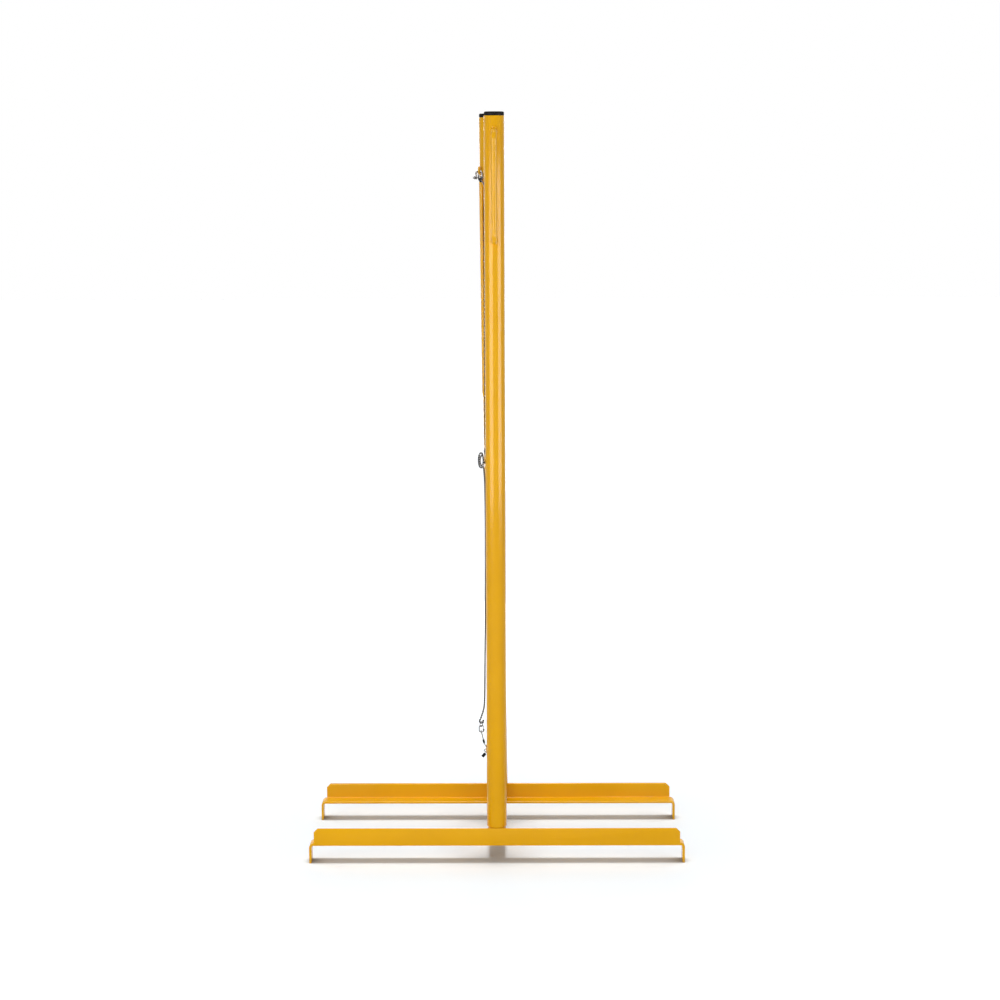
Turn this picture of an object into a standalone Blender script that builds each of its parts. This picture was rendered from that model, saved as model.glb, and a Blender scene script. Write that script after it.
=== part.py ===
"""A narrow free-standing net stand: two yellow posts on bent angle feet, with a net between them.

Metres, +Z up. +X runs along the feet, -Y is the front, and the origin is on the floor,
under the middle of the base. Dimensions in millimetres go through mm().
"""

import math

import bmesh
import bpy
from mathutils import Matrix, Vector


def mm(value):
    return value / 1000.0


# Driving dimensions
FOOT_LENGTH = 0.850
POST_SPACING = 0.350
TOTAL_HEIGHT = 1.680
REAR_LEAN_DEG = 0.60  # the rear post stands out of plumb on its loose spigot
LEAN_PIVOT_Z = 0.140

ANGLE_SIZE = mm(40)
ANGLE_THICK = mm(5)
FOOT_CLEARANCE = mm(40.5)  # floor to the underside of the angle
FLANGE_HALF_LENGTH = 0.414
FLANGE_CHAMFER = mm(9)
BEND_RADIUS = mm(10)

POST_RADIUS = mm(22.25)
POST_WALL = mm(4)
SPIGOT_RADIUS = mm(17.3)
SPIGOT_WALL = mm(4)
SPIGOT_TOP = 0.185
LID_HEIGHT = mm(9)
GAP = mm(0.3)

HANDLE_ROD = mm(6.2)
HANDLE_TOP = 1.638
HANDLE_BOTTOM = 1.400
HANDLE_REACH = mm(58)

HOOK_ROD = mm(3.7)
HOOK_ROD_BOTTOM = 1.015
HOOK_ROD_TOP = 1.531

HEAD_Z = 1.520
FOOT_Z = 0.906
CABLE = mm(1.5)
CORD = mm(2.0)
WIRE = mm(1.0)
MESH_COLUMNS = 6
MESH_ROWS = 18
MESH_SQUARE = mm(30)
STRAND = mm(2.0)

FRONT_Y = -POST_SPACING / 2
REAR_Y = POST_SPACING / 2
POST_BOTTOM = FOOT_CLEARANCE + ANGLE_SIZE + mm(0.6)
POST_TOP = TOTAL_HEIGHT - LID_HEIGHT
LEAN = Matrix.Rotation(math.radians(-REAR_LEAN_DEG), 4, "Y")

YELLOW = ((0.76, 0.385, 0.016), 0.42, 0.0)
BLACK_PLASTIC = ((0.012, 0.012, 0.013), 0.5, 0.0)
ZINC = ((0.62, 0.61, 0.58), 0.32, 1.0)
STEEL_ROPE = ((0.42, 0.42, 0.41), 0.4, 1.0)
NET_BLACK = ((0.018, 0.018, 0.019), 0.85, 0.0)
TAPE_BLACK = ((0.022, 0.022, 0.024), 0.8, 0.0)
CORD_GREY = ((0.20, 0.19, 0.18), 0.85, 0.0)


# Scene and placing
for old in list(bpy.data.objects):
    bpy.data.objects.remove(old, do_unlink=True)

PARTS = bpy.data.collections.new("net_stand")
CUTTERS = bpy.data.collections.new("net_stand_cutters")
bpy.context.scene.collection.children.link(PARTS)
bpy.context.scene.collection.children.link(CUTTERS)


def anchor(name, location, rotation=None):
    """An empty that pieces are parented to."""
    empty = bpy.data.objects.new(name, None)
    empty.matrix_world = Matrix.Translation(location) @ (rotation or Matrix.Identity(4))
    PARTS.objects.link(empty)
    return empty


def material(name, look):
    colour, roughness, metallic = look
    made = bpy.data.materials.new(name)
    made.use_nodes = True
    shader = made.node_tree.nodes["Principled BSDF"]
    shader.inputs["Base Color"].default_value = (*colour, 1.0)
    shader.inputs["Roughness"].default_value = roughness
    shader.inputs["Metallic"].default_value = metallic
    return made


def keep(obj, name, look, parent=None, matrix=None):
    """Names a finished piece, gives it its own material and hangs it on its parent."""
    obj.name = name
    obj.data.name = name
    obj.data.materials.clear()
    obj.data.materials.append(material(name, look))
    if matrix is not None:
        obj.matrix_world = matrix
    if parent is not None:
        obj.parent = parent
        obj.matrix_parent_inverse = Matrix.Identity(4)
    for holder in list(obj.users_collection):
        holder.objects.unlink(obj)
    PARTS.objects.link(obj)
    return obj


def smooth(obj, angle=35):
    obj.data.shade_smooth()
    obj.data.set_sharp_from_angle(angle=math.radians(angle))
    return obj


# Shapes
def mesh_object(name, bm):
    mesh = bpy.data.meshes.new(name)
    bm.to_mesh(mesh)
    bm.free()
    obj = bpy.data.objects.new(name, mesh)
    PARTS.objects.link(obj)
    return obj


def evaluated(obj, weld=1e-6):
    """Replaces an object by its evaluated mesh, with the loose caps welded on."""
    graph = bpy.context.evaluated_depsgraph_get()
    mesh = bpy.data.meshes.new_from_object(obj.evaluated_get(graph))
    bm = bmesh.new()
    bm.from_mesh(mesh)
    bmesh.ops.remove_doubles(bm, verts=bm.verts, dist=weld)
    bmesh.ops.recalc_face_normals(bm, faces=bm.faces)
    bm.to_mesh(mesh)
    bm.free()
    result = bpy.data.objects.new(obj.name, mesh)
    result.matrix_world = obj.matrix_world
    PARTS.objects.link(result)
    bpy.data.objects.remove(obj, do_unlink=True)
    return result


def tube(name, points, radius, resolution=3, closed=False, radii=None):
    """A round rod or wire along the points."""
    curve = bpy.data.curves.new(name, "CURVE")
    curve.dimensions = "3D"
    curve.bevel_depth = radius
    curve.bevel_resolution = resolution
    curve.use_fill_caps = not closed
    spline = curve.splines.new("POLY")
    spline.points.add(len(points) - 1)
    spline.use_cyclic_u = closed
    for i, point in enumerate(points):
        spline.points[i].co = (*point, 1.0)
        if radii is not None:
            spline.points[i].radius = radii[i]
    obj = bpy.data.objects.new(name, curve)
    PARTS.objects.link(obj)
    bpy.context.view_layer.update()
    return smooth(evaluated(obj), 50)


def plate(name, outlines, depth):
    """A flat shape in XY, centred on Z, depth thick. Outlines after the first are holes."""
    curve = bpy.data.curves.new(name, "CURVE")
    curve.dimensions = "2D"
    curve.fill_mode = "BOTH"
    curve.extrude = depth / 2
    for outline in outlines:
        spline = curve.splines.new("POLY")
        spline.points.add(len(outline) - 1)
        spline.use_cyclic_u = True
        for i, point in enumerate(outline):
            spline.points[i].co = (point[0], point[1], 0.0, 1.0)
    obj = bpy.data.objects.new(name, curve)
    PARTS.objects.link(obj)
    bpy.context.view_layer.update()
    return smooth(evaluated(obj))


def lathe(name, profile, steps=48):
    """A turned piece about Z. The profile runs down its outer side; ends at r = 0 are poles."""
    mesh = bpy.data.meshes.new(name)
    closed = profile[0][0] > 0 and profile[-1][0] > 0
    edges = [(i, i + 1) for i in range(len(profile) - 1)]
    if closed:
        edges.append((len(profile) - 1, 0))
    mesh.from_pydata([(r, 0.0, z) for r, z in profile], edges, [])
    obj = bpy.data.objects.new(name, mesh)
    PARTS.objects.link(obj)
    screw = obj.modifiers.new("turn", "SCREW")
    screw.axis = "Z"
    screw.steps = steps
    screw.render_steps = steps
    screw.use_merge_vertices = True
    screw.merge_threshold = 1e-6
    bpy.context.view_layer.update()
    return smooth(evaluated(obj), 40)


def cylinder(name, radius, length, centre=(0, 0, 0), rotation=None, segments=48):
    bm = bmesh.new()
    bmesh.ops.create_cone(
        bm, cap_ends=True, segments=segments, radius1=radius, radius2=radius, depth=length
    )
    obj = mesh_object(name, bm)
    obj.data.transform(Matrix.Translation(centre) @ (rotation or Matrix.Identity(4)))
    return obj


def combine(obj, other, operation):
    """Cuts or joins with another mesh object and drops it."""
    for holder in list(other.users_collection):
        holder.objects.unlink(other)
    CUTTERS.objects.link(other)
    other.hide_render = True
    other.display_type = "WIRE"
    change = obj.modifiers.new(operation.lower(), "BOOLEAN")
    change.operation = operation
    change.solver = "EXACT"
    change.object = other
    bpy.context.view_layer.update()
    made = evaluated(obj)
    bpy.data.objects.remove(other, do_unlink=True)
    return smooth(made)


def arc(centre, radius, start, end, count):
    """Points of an arc in a plane, angles in degrees."""
    points = []
    for i in range(count + 1):
        angle = math.radians(start + (end - start) * i / count)
        x = centre[0] + radius * math.cos(angle)
        y = centre[1] + radius * math.sin(angle)
        points.append((x, y))
    return points


def route(points, tolerance=mm(0.12)):
    """A smooth curve through the points, thinned where it runs straight."""
    knots = [Vector(p) for p in points]
    knots = [knots[0] * 2 - knots[1], *knots, knots[-1] * 2 - knots[-2]]
    fine = []
    for i in range(1, len(knots) - 2):
        p0, p1, p2, p3 = knots[i - 1 : i + 3]
        t0 = 0.0
        t1 = t0 + (p1 - p0).length ** 0.5
        t2 = t1 + (p2 - p1).length ** 0.5
        t3 = t2 + (p3 - p2).length ** 0.5
        for j in range(24):
            t = t1 + (t2 - t1) * j / 24
            a1 = p0 * ((t1 - t) / (t1 - t0)) + p1 * ((t - t0) / (t1 - t0))
            a2 = p1 * ((t2 - t) / (t2 - t1)) + p2 * ((t - t1) / (t2 - t1))
            a3 = p2 * ((t3 - t) / (t3 - t2)) + p3 * ((t - t2) / (t3 - t2))
            b1 = a1 * ((t2 - t) / (t2 - t0)) + a2 * ((t - t0) / (t2 - t0))
            b2 = a2 * ((t3 - t) / (t3 - t1)) + a3 * ((t - t1) / (t3 - t1))
            fine.append(b1 * ((t2 - t) / (t2 - t1)) + b2 * ((t - t1) / (t2 - t1)))
    fine.append(knots[-2])
    return thinned(fine, tolerance)


def thinned(points, tolerance):
    """Drops the points that lie within the tolerance of a straight run between kept ones."""
    first, last = points[0], points[-1]
    run = last - first
    worst, index = 0.0, 0
    for i in range(1, len(points) - 1):
        off = points[i] - first
        if run.length > 0:
            share = min(max(off.dot(run) / run.length_squared, 0.0), 1.0)
            off = off - run * share
        if off.length > worst:
            worst, index = off.length, i
    if worst <= tolerance:
        return [first, last]
    return thinned(points[: index + 1], tolerance)[:-1] + thinned(points[index:], tolerance)


def eye_points(centre, ahead, side, radius, neck, tail, gap):
    """An eye at a rope's end: tail, round the eye, and out along the main strand."""
    centre, ahead, side = Vector(centre), Vector(ahead).normalized(), Vector(side).normalized()
    straight = (tail, tail * 0.5, mm(1.5), 0.0)
    flat = [(neck + run, -gap) for run in straight]
    flat += arc((0, 0), radius, -62, -298, 10)
    flat += [(neck + run, 0.0) for run in reversed(straight)]
    return [centre + ahead * u + side * w for u, w in flat]


def ring_points(centre, first, second, radius, count):
    """A full circle in the plane of two directions."""
    centre, first, second = Vector(centre), Vector(first), Vector(second)
    flat = arc((0, 0), radius, 0, 360 * (count - 1) / count, count - 1)
    return [centre + first * u + second * w for u, w in flat]


def frame_along(origin, ahead, up=(0, 0, 1)):
    """A frame at the origin with its Z along a direction."""
    z = Vector(ahead).normalized()
    x = Vector(up).cross(z).normalized()
    y = z.cross(x)
    turn = Matrix((x, y, z)).transposed().to_4x4()
    return Matrix.Translation(origin) @ turn


# Base: two bent angles, a box tube and two spigots
def build_foot(name, side):
    """side -1 is the front foot and +1 the rear one. The upright flange is on the outside."""
    outer = POST_RADIUS + mm(0.25)
    root = mm(3)
    toe = mm(2.5)
    low = FOOT_CLEARANCE
    # The upright flange's section with its root, in (inward distance from the outer face,
    # height). It starts inside the lower flange and stands a hair back from its edge.
    back = mm(0.06)
    section = [(back, low + mm(1.5)), (ANGLE_THICK + root, low + mm(1.5))]
    centre = (ANGLE_THICK + root, low + ANGLE_THICK + root - back)
    section += arc(centre, root, 270, 180, 5)
    centre = (ANGLE_THICK - toe, low + ANGLE_SIZE - toe)
    section += arc(centre, toe, 0, 90, 4)
    section.append((back, low + ANGLE_SIZE))
    bar = plate(name, [section], 2 * FLANGE_HALF_LENGTH)
    # Plate X is the inward distance, plate Y the height, plate Z the length.
    stand = Matrix(((0, 0, -side, 0), (-side, 0, 0, side * outer), (0, 1, 0, 0), (0, 0, 0, 1)))
    bar.data.transform(stand)
    for end in (-1, 1):
        cut = FLANGE_CHAMFER
        x = end * FLANGE_HALF_LENGTH
        top = low + ANGLE_SIZE
        outline = [
            (x + end * mm(5), top + mm(5)),
            (x - end * (cut + mm(5)), top + mm(5)),
            (x - end * cut, top),
            (x, top - cut),
            (x + end * mm(5), top - cut - mm(5)),
        ]
        wedge = plate("corner", [outline], mm(30))
        wedge.data.transform(Matrix.Rotation(math.radians(90), 4, "X"))
        wedge.data.transform(Matrix.Translation((0, side * outer, 0)))
        bar = combine(bar, wedge, "DIFFERENCE")
    # The lower flange runs on at both ends and is bent down into a leg.
    half = FOOT_LENGTH / 2
    under = low
    over = low + ANGLE_THICK
    outline = [(-half, 0.0), (-half, over - BEND_RADIUS)]
    outline += arc((-half + BEND_RADIUS, over - BEND_RADIUS), BEND_RADIUS, 180, 90, 8)[1:]
    outline += arc((half - BEND_RADIUS, over - BEND_RADIUS), BEND_RADIUS, 90, 0, 8)
    outline += [(half, 0.0), (half - ANGLE_THICK, 0.0)]
    inner = BEND_RADIUS - ANGLE_THICK
    outline += arc((half - BEND_RADIUS, under - inner), inner, 0, 90, 6)
    outline += arc((-half + BEND_RADIUS, under - inner), inner, 90, 180, 6)
    outline += [(-half + ANGLE_THICK, 0.0)]
    strip = plate("strip", [outline], ANGLE_SIZE)
    strip.data.transform(Matrix.Rotation(math.radians(90), 4, "X"))
    strip.data.transform(Matrix.Translation((0, side * (outer - ANGLE_SIZE / 2), 0)))
    foot = combine(bar, strip, "UNION")
    return keep(foot, name, YELLOW, matrix=Matrix.Translation((0, side * REAR_Y, 0)))


def build_base_tube():
    width, height, wall, round_off = mm(40), mm(30), mm(2.5), mm(5)

    def rounded(w, h, r):
        points = []
        for cx, cy, start in ((1, 1, 0), (-1, 1, 90), (-1, -1, 180), (1, -1, 270)):
            centre = (cx * (w / 2 - r), cy * (h / 2 - r))
            points += arc(centre, r, start, start + 90, 4)
        return points

    bore = rounded(width - 2 * wall, height - 2 * wall, round_off - wall)
    length = POST_SPACING - 2 * mm(6)
    box = plate("base_tube", [rounded(width, height, round_off), bore], length)
    box.data.transform(Matrix.Rotation(math.radians(90), 4, "X"))
    low = FOOT_CLEARANCE + ANGLE_THICK + GAP
    box.data.transform(Matrix.Translation((0, 0, low + height / 2)))
    for y in (FRONT_Y, REAR_Y):
        saddle = cylinder("saddle", SPIGOT_RADIUS + GAP, mm(80), (0, y, low + height / 2))
        box = combine(box, saddle, "DIFFERENCE")
    return keep(box, "base_tube", YELLOW)


def build_spigot(name, y):
    """A tube with a lead-in at its top, its foot bevelled to sit in the angle's root."""
    low = FOOT_CLEARANCE + ANGLE_THICK + GAP
    lead = mm(3)
    r = SPIGOT_RADIUS
    profile = [
        (r - lead * 0.6, SPIGOT_TOP),
        (r, SPIGOT_TOP - lead),
        (r, low + mm(3.2)),
        (r - mm(3.2), low),
        (r - SPIGOT_WALL, low),
        (r - SPIGOT_WALL, SPIGOT_TOP),
    ]
    spigot = lathe(name, profile, 40)
    return keep(spigot, name, YELLOW, matrix=Matrix.Translation((0, y, 0)))


# Uprights. Each is built about its own axis, with z as a height above the floor.
def build_post(name, parent):
    chamfer = mm(1.6)
    r = POST_RADIUS
    bore = r - POST_WALL
    profile = [
        (r - mm(0.6), POST_TOP),
        (r, POST_TOP - mm(0.6)),
        (r, POST_BOTTOM + chamfer),
        (r - chamfer, POST_BOTTOM),
        (bore, POST_BOTTOM),
        (bore, POST_TOP),
    ]
    return keep(lathe(name, profile, 48), name, YELLOW, parent)


def build_cap(name, parent):
    """A ribbed push-in plug, hollow below, with a domed lid over the tube's end."""
    lid = POST_RADIUS - mm(0.4)
    plug = POST_RADIUS - POST_WALL - mm(1.6)
    rib = POST_RADIUS - POST_WALL - mm(0.4)
    under = POST_TOP + GAP
    profile = [(0.0, TOTAL_HEIGHT), (lid - mm(6), TOTAL_HEIGHT - mm(0.3))]
    profile += arc((lid - mm(3), TOTAL_HEIGHT - mm(3.4)), mm(3), 90, 0, 4)
    profile += [(lid, under), (plug, under)]
    for i in range(3):
        z = under - mm(6 + 6 * i)
        profile += [(plug, z + mm(1.5)), (rib, z), (plug, z - mm(1.5))]
    end = under - mm(24)
    profile += [(plug, end), (plug - mm(2), end), (plug - mm(2), under + mm(2)), (0.0, under + mm(2))]
    return keep(lathe(name, profile, 24), name, BLACK_PLASTIC, parent)


def coped(obj, radius=POST_RADIUS + GAP):
    """Cuts the ends that run into a post back to its surface."""
    return combine(obj, cylinder("cope", radius, 2.0, (0, 0, 1.0), segments=64), "DIFFERENCE")


def build_handle(name, side, parent):
    """A bent rod grip on the outer face of a post, with a weld round each end."""
    bend = mm(19)
    start = mm(18)
    half = (HANDLE_TOP - HANDLE_BOTTOM) / 2
    middle = (HANDLE_TOP + HANDLE_BOTTOM) / 2
    flat = [(start, half)]
    flat += arc((HANDLE_REACH - bend, half - bend), bend, 90, 0, 7)
    flat += arc((HANDLE_REACH - bend, -half + bend), bend, 0, -90, 7)
    flat += [(start, -half)]
    points = [(0.0, side * reach, middle + z) for reach, z in flat]
    grip = tube(name, points, HANDLE_ROD, 5)
    for z in (HANDLE_TOP, HANDLE_BOTTOM):
        weld = [(0, mm(9)), (HANDLE_ROD - mm(0.4), mm(9)), (HANDLE_ROD + mm(1.1), mm(5.2))]
        weld += [(HANDLE_ROD + mm(2.6), mm(3)), (HANDLE_ROD + mm(2.8), 0), (0, 0)]
        bead = lathe("bead", weld, 24)
        place = frame_along((0, side * mm(19.5), z), (0, side, 0))
        bead.data.transform(place)
        grip = combine(grip, bead, "UNION")
    return keep(coped(grip), name, YELLOW, parent)


def build_staple(name, angle, z, parent, rod=mm(3), reach=mm(14), half=mm(9)):
    """A welded rod staple that stands upright off a post, at an angle about its axis."""
    out = Vector((math.cos(math.radians(angle)), math.sin(math.radians(angle)), 0))
    bar = POST_RADIUS + reach
    bend = mm(6)
    flat = [(mm(19), half)]
    flat += arc((bar - bend, half - bend), bend, 90, 0, 5)
    flat += arc((bar - bend, bend - half), bend, 0, -90, 5)
    flat += [(mm(19), -half)]
    points = [out * reach_out + Vector((0, 0, z + up)) for reach_out, up in flat]
    return keep(coped(tube(name, points, rod, 3)), name, YELLOW, parent)


def staple_bar(angle, reach=mm(14)):
    """The middle of a staple's upright bar, about the post's axis."""
    out = POST_RADIUS + reach
    return Vector((out * math.cos(math.radians(angle)), out * math.sin(math.radians(angle)), 0))


def build_hook_rod(parent):
    """A rod welded along the rear post under the eye, ground to a taper at its foot."""
    lean_in = math.radians(220.5)
    levels = [
        (HOOK_ROD_BOTTOM, 0.30),
        (HOOK_ROD_BOTTOM + mm(8), 0.72),
        (HOOK_ROD_BOTTOM + mm(19), 1.0),
        (HOOK_ROD_TOP - mm(2), 1.0),
        (HOOK_ROD_TOP, 0.62),
    ]
    points = []
    for z, scale in levels:
        off = POST_RADIUS + GAP + HOOK_ROD * scale + mm(0.1)
        points.append((off * math.cos(lean_in), off * math.sin(lean_in), z))
    rod = tube("hook_rod", points, HOOK_ROD, 3, radii=[scale for _, scale in levels])
    return keep(rod, "hook_rod", YELLOW, parent)


base_tube = build_base_tube()
foot_front = build_foot("foot_front", -1)
foot_rear = build_foot("foot_rear", 1)
spigot_front = build_spigot("spigot_front", FRONT_Y)
spigot_rear = build_spigot("spigot_rear", REAR_Y)

front_axis = anchor("front_axis", (0, FRONT_Y, 0))
pivot = Matrix.Translation((0, REAR_Y, LEAN_PIVOT_Z))
rear_axis = anchor("rear_axis", (0, 0, 0))
rear_axis.matrix_world = pivot @ LEAN @ Matrix.Translation((0, 0, -LEAN_PIVOT_Z))
bpy.context.view_layer.update()
REAR = rear_axis.matrix_world.copy()
FRONT = front_axis.matrix_world.copy()

build_post("post_front", front_axis)
build_post("post_rear", rear_axis)
build_cap("cap_front", front_axis)
build_cap("cap_rear", rear_axis)
build_handle("handle_front", -1, front_axis)
build_handle("handle_rear", 1, rear_axis)
build_hook_rod(rear_axis)

FRONT_TOP_ANGLE = 115
FRONT_MID_ANGLE = 125
FRONT_LOW_ANGLE = 135
REAR_MID_ANGLE = -95
LOW_REACH = mm(8.25)
LOW_Z = mm(255)
build_staple("staple_front_top", FRONT_TOP_ANGLE, HEAD_Z, front_axis)
build_staple("staple_front_mid", FRONT_MID_ANGLE, FOOT_Z, front_axis)
build_staple("staple_rear_mid", REAR_MID_ANGLE, FOOT_Z, rear_axis)
build_staple("staple_front_low", FRONT_LOW_ANGLE, LOW_Z, front_axis, mm(2.5), LOW_REACH, mm(11))


# Rear eye, shackle and wing pin, in the rear post's frame
EYE_X = mm(-23.7)
EYE_Y = mm(-15)
EYE_Z = mm(1549)
EYE_RING = mm(7.4)
EYE_ROD = mm(2.25)
eye_centre = Vector((EYE_X, EYE_Y, EYE_Z))
eye = tube(
    "eye_ring", ring_points(eye_centre, (0, 1, 0), (0, 0, 1), EYE_RING, 20), EYE_ROD, 2, closed=True
)
keep(eye, "eye_ring", YELLOW, rear_axis)

PULL_DEG = 46.0  # the shackle's line below level, towards the net
ROLL_DEG = 0.0  # its pin level
SHACKLE_ROD = mm(2.25)
SHACKLE_HALF = mm(6.4)
SHACKLE_LONG = mm(20)
seat = Vector((0, -math.cos(math.radians(45)), -math.sin(math.radians(45))))
crown = eye_centre + seat * (EYE_RING - EYE_ROD - SHACKLE_ROD - mm(1.0))
pull = Vector((0, -math.cos(math.radians(PULL_DEG)), -math.sin(math.radians(PULL_DEG))))
pin_axis = Matrix.Rotation(math.radians(ROLL_DEG), 3, pull) @ Vector((1, 0, 0))
pin_centre = crown + pull * SHACKLE_LONG


def build_shackle():
    """A bow whose crown lies in the eye, with a bored boss on each arm for the pin."""
    flat = arc((0, SHACKLE_HALF), SHACKLE_HALF, 180, 360, 12)
    points = [crown + pin_axis * u + pull * v for u, v in flat]
    run = SHACKLE_LONG - SHACKLE_HALF
    points.insert(0, points[0] + pull * run)
    points.append(points[-1] + pull * run)
    bow = tube("shackle_bow", points, SHACKLE_ROD, 2)
    for end in (-1, 1):
        place = frame_along(pin_centre + pin_axis * (end * SHACKLE_HALF), pin_axis, pull)
        boss = cylinder("boss", mm(5), mm(4.2), segments=24)
        boss.data.transform(place)
        bow = combine(bow, boss, "UNION")
    bore = cylinder("bore", mm(2.5) + GAP, mm(40), segments=20)
    bore.data.transform(frame_along(pin_centre, pin_axis, pull))
    return keep(combine(bow, bore, "DIFFERENCE"), "shackle_bow", ZINC, rear_axis)


def build_wing_pin():
    """The shackle's pin: a turned shank with a collar and two wings at its left end."""
    shank = mm(2.5)
    face = SHACKLE_HALF + mm(2.1) + GAP
    profile = [(0, face + mm(2)), (mm(4.2), face + mm(2)), (mm(4.4), face), (shank, face)]
    profile += [(shank, -face - mm(0.6)), (shank - mm(0.7), -face - mm(1.4)), (0, -face - mm(1.4))]
    pin = lathe("wing_pin", profile, 20)
    wing = []
    wing += arc((mm(3.7), mm(2.9)), mm(2.3), -75, 150, 9)
    wing += arc((mm(-3.7), mm(2.9)), mm(2.3), 30, 255, 9)
    wings = plate("wings", [wing], mm(2.2))
    wings.data.transform(Matrix.Rotation(math.radians(90), 4, "X"))
    wings.data.transform(Matrix.Translation((0, 0, face)))
    pin = combine(pin, wings, "UNION")
    turn = Matrix.Rotation(math.radians(120), 4, "Z")
    pin.data.transform(frame_along(Vector(), -pin_axis, pull) @ turn)
    return keep(pin, "wing_pin", ZINC, rear_axis, Matrix.Translation(pin_centre))


build_shackle()
build_wing_pin()


# Net, in an upright plane from the front staple to the rear post's side
net_start = FRONT @ (staple_bar(FRONT_TOP_ANGLE) + Vector((0, 0, HEAD_Z)))
net_end = Vector((mm(-25.5), mm(78), HEAD_Z))
net_line = (net_end - net_start).normalized()
net_turn = Matrix.Rotation(math.atan2(-net_line.x, net_line.y), 4, "Z")
net_frame = anchor("net_frame", (net_start.x, net_start.y, 0), net_turn)
bpy.context.view_layer.update()
NET = net_frame.matrix_world.copy()

MESH_WIDTH = MESH_COLUMNS * MESH_SQUARE
MESH_START = mm(35)
MESH_BOTTOM = FOOT_Z + mm(28.5)
MESH_TOP = HEAD_Z - mm(43.5)
TAPE_START = mm(29)
TAPE_LENGTH = MESH_WIDTH + mm(12)


def build_mesh():
    """The net's square meshes, as one body of strands."""
    bm = bmesh.new()
    bmesh.ops.create_grid(bm, x_segments=MESH_COLUMNS, y_segments=MESH_ROWS, size=0.5)
    high = MESH_TOP - MESH_BOTTOM - STRAND
    place = Matrix.Translation((0, MESH_START + MESH_WIDTH / 2, (MESH_TOP + MESH_BOTTOM) / 2))
    spread = Matrix(((0, 0, 1, 0), (MESH_WIDTH, 0, 0, 0), (0, high, 0, 0), (0, 0, 0, 1)))
    bmesh.ops.transform(bm, matrix=place @ spread, verts=bm.verts)
    net = mesh_object("net_mesh", bm)
    wire = net.modifiers.new("strands", "WIREFRAME")
    wire.thickness = STRAND
    wire.use_boundary = True
    wire.use_even_offset = True
    wire.use_relative_offset = False
    wire.use_replace = True
    bpy.context.view_layer.update()
    return keep(evaluated(net), "net_mesh", NET_BLACK, net_frame)


def build_tape(name, z, bore, band, side):
    """A hemmed tape: a flat band with a round hem that a rope runs through."""
    hem = bore + mm(1.5)
    half = mm(1.3)
    base = math.degrees(math.asin(half / hem))
    outline = arc((0, 0), hem, -90 + base, 270 - base, 18)
    outline += [(-half, -band), (half, -band)]
    hole = arc((0, 0), bore, 0, 330, 11)
    tape = plate(name, [outline, hole], TAPE_LENGTH)
    flip = Matrix.Diagonal((1, side, 1, 1))
    tape.data.transform(flip)
    if side < 0:
        tape.data.flip_normals()
    tape.data.transform(Matrix.Rotation(math.radians(90), 4, "X"))
    tape.data.transform(Matrix.Translation((0, TAPE_START + TAPE_LENGTH / 2, z)))
    return keep(tape, name, TAPE_BLACK, net_frame)


def build_border(name, y):
    ends = [(0, y, MESH_BOTTOM), (0, y, MESH_TOP)]
    points = [Vector(ends[0]).lerp(Vector(ends[1]), i / 8) for i in range(9)]
    return keep(tube(name, points, CORD, 2), name, CORD_GREY, net_frame)


build_mesh()
build_tape("head_tape", HEAD_Z, CABLE + mm(0.5), mm(43), 1)
build_tape("foot_tape", FOOT_Z, CORD + mm(0.5), mm(28), -1)
border_off = STRAND / 2 + GAP + CORD + mm(0.1)
build_border("border_front", MESH_START - border_off)
build_border("border_rear", MESH_START + MESH_WIDTH + border_off)


# Head cable, with an eye at each end
def net_point(y, z):
    return NET @ Vector((0, y, z))


def build_ferrule(name, eye_at, ahead, side, neck, wire, look=BLACK_PLASTIC, long=mm(9)):
    """A crimped sleeve over the two strands beside an eye."""
    ahead, side = Vector(ahead).normalized(), Vector(side).normalized()
    apart = 2 * wire + mm(0.5)
    bore = wire + GAP
    rim = bore + mm(1.1)
    outline = arc((0, 0), rim, -90, 90, 8) + arc((-apart, 0), rim, 90, 270, 8)
    slot = arc((0, 0), bore, -90, 90, 6) + arc((-apart, 0), bore, 90, 270, 6)
    sleeve = plate(name, [outline, slot], long)
    x = side
    z = ahead
    y = z.cross(x)
    turn = Matrix((x, y, z)).transposed().to_4x4()
    middle = Vector(eye_at) + ahead * (neck + long / 2 + mm(1.5))
    return keep(sleeve, name, look, front_axis, FRONT.inverted() @ Matrix.Translation(middle) @ turn)


pin_world = REAR @ pin_centre
pin_axis_world = (REAR.to_3x3() @ pin_axis).normalized()
tape_front = net_point(TAPE_START - mm(2), HEAD_Z)
tape_rear = net_point(TAPE_START + TAPE_LENGTH + mm(9), HEAD_Z)


def straight_run(first, last):
    """Points of a straight stretch, close together at its ends so that it stays straight."""
    along = (last - first).normalized()
    return [first, first + along * mm(5), first.lerp(last, 0.5), last - along * mm(5), last]


CABLE_NECK = mm(13)
TAIL = mm(9)
rear_ahead = (tape_rear - pin_world).normalized()
rear_side = rear_ahead.cross(pin_axis_world).normalized()
front_side = Vector((net_line.y, -net_line.x, 0))

cable_points = eye_points(
    net_start, net_line, front_side, mm(5.6), CABLE_NECK, TAIL, 2 * CABLE + mm(0.5)
)
cable_points += straight_run(tape_front, tape_rear)
cable_points += reversed(
    eye_points(pin_world, rear_ahead, rear_side, mm(5.6), CABLE_NECK, TAIL, 2 * CABLE + mm(0.5))
)
head_cable = tube("head_cable", route(cable_points), CABLE, 1)
keep(head_cable, "head_cable", STEEL_ROPE, front_axis, FRONT.inverted())
build_ferrule("ferrule_head_front", net_start, net_line, front_side, CABLE_NECK, CABLE)
build_ferrule("ferrule_head_rear", pin_world, rear_ahead, rear_side, CABLE_NECK, CABLE)


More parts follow.
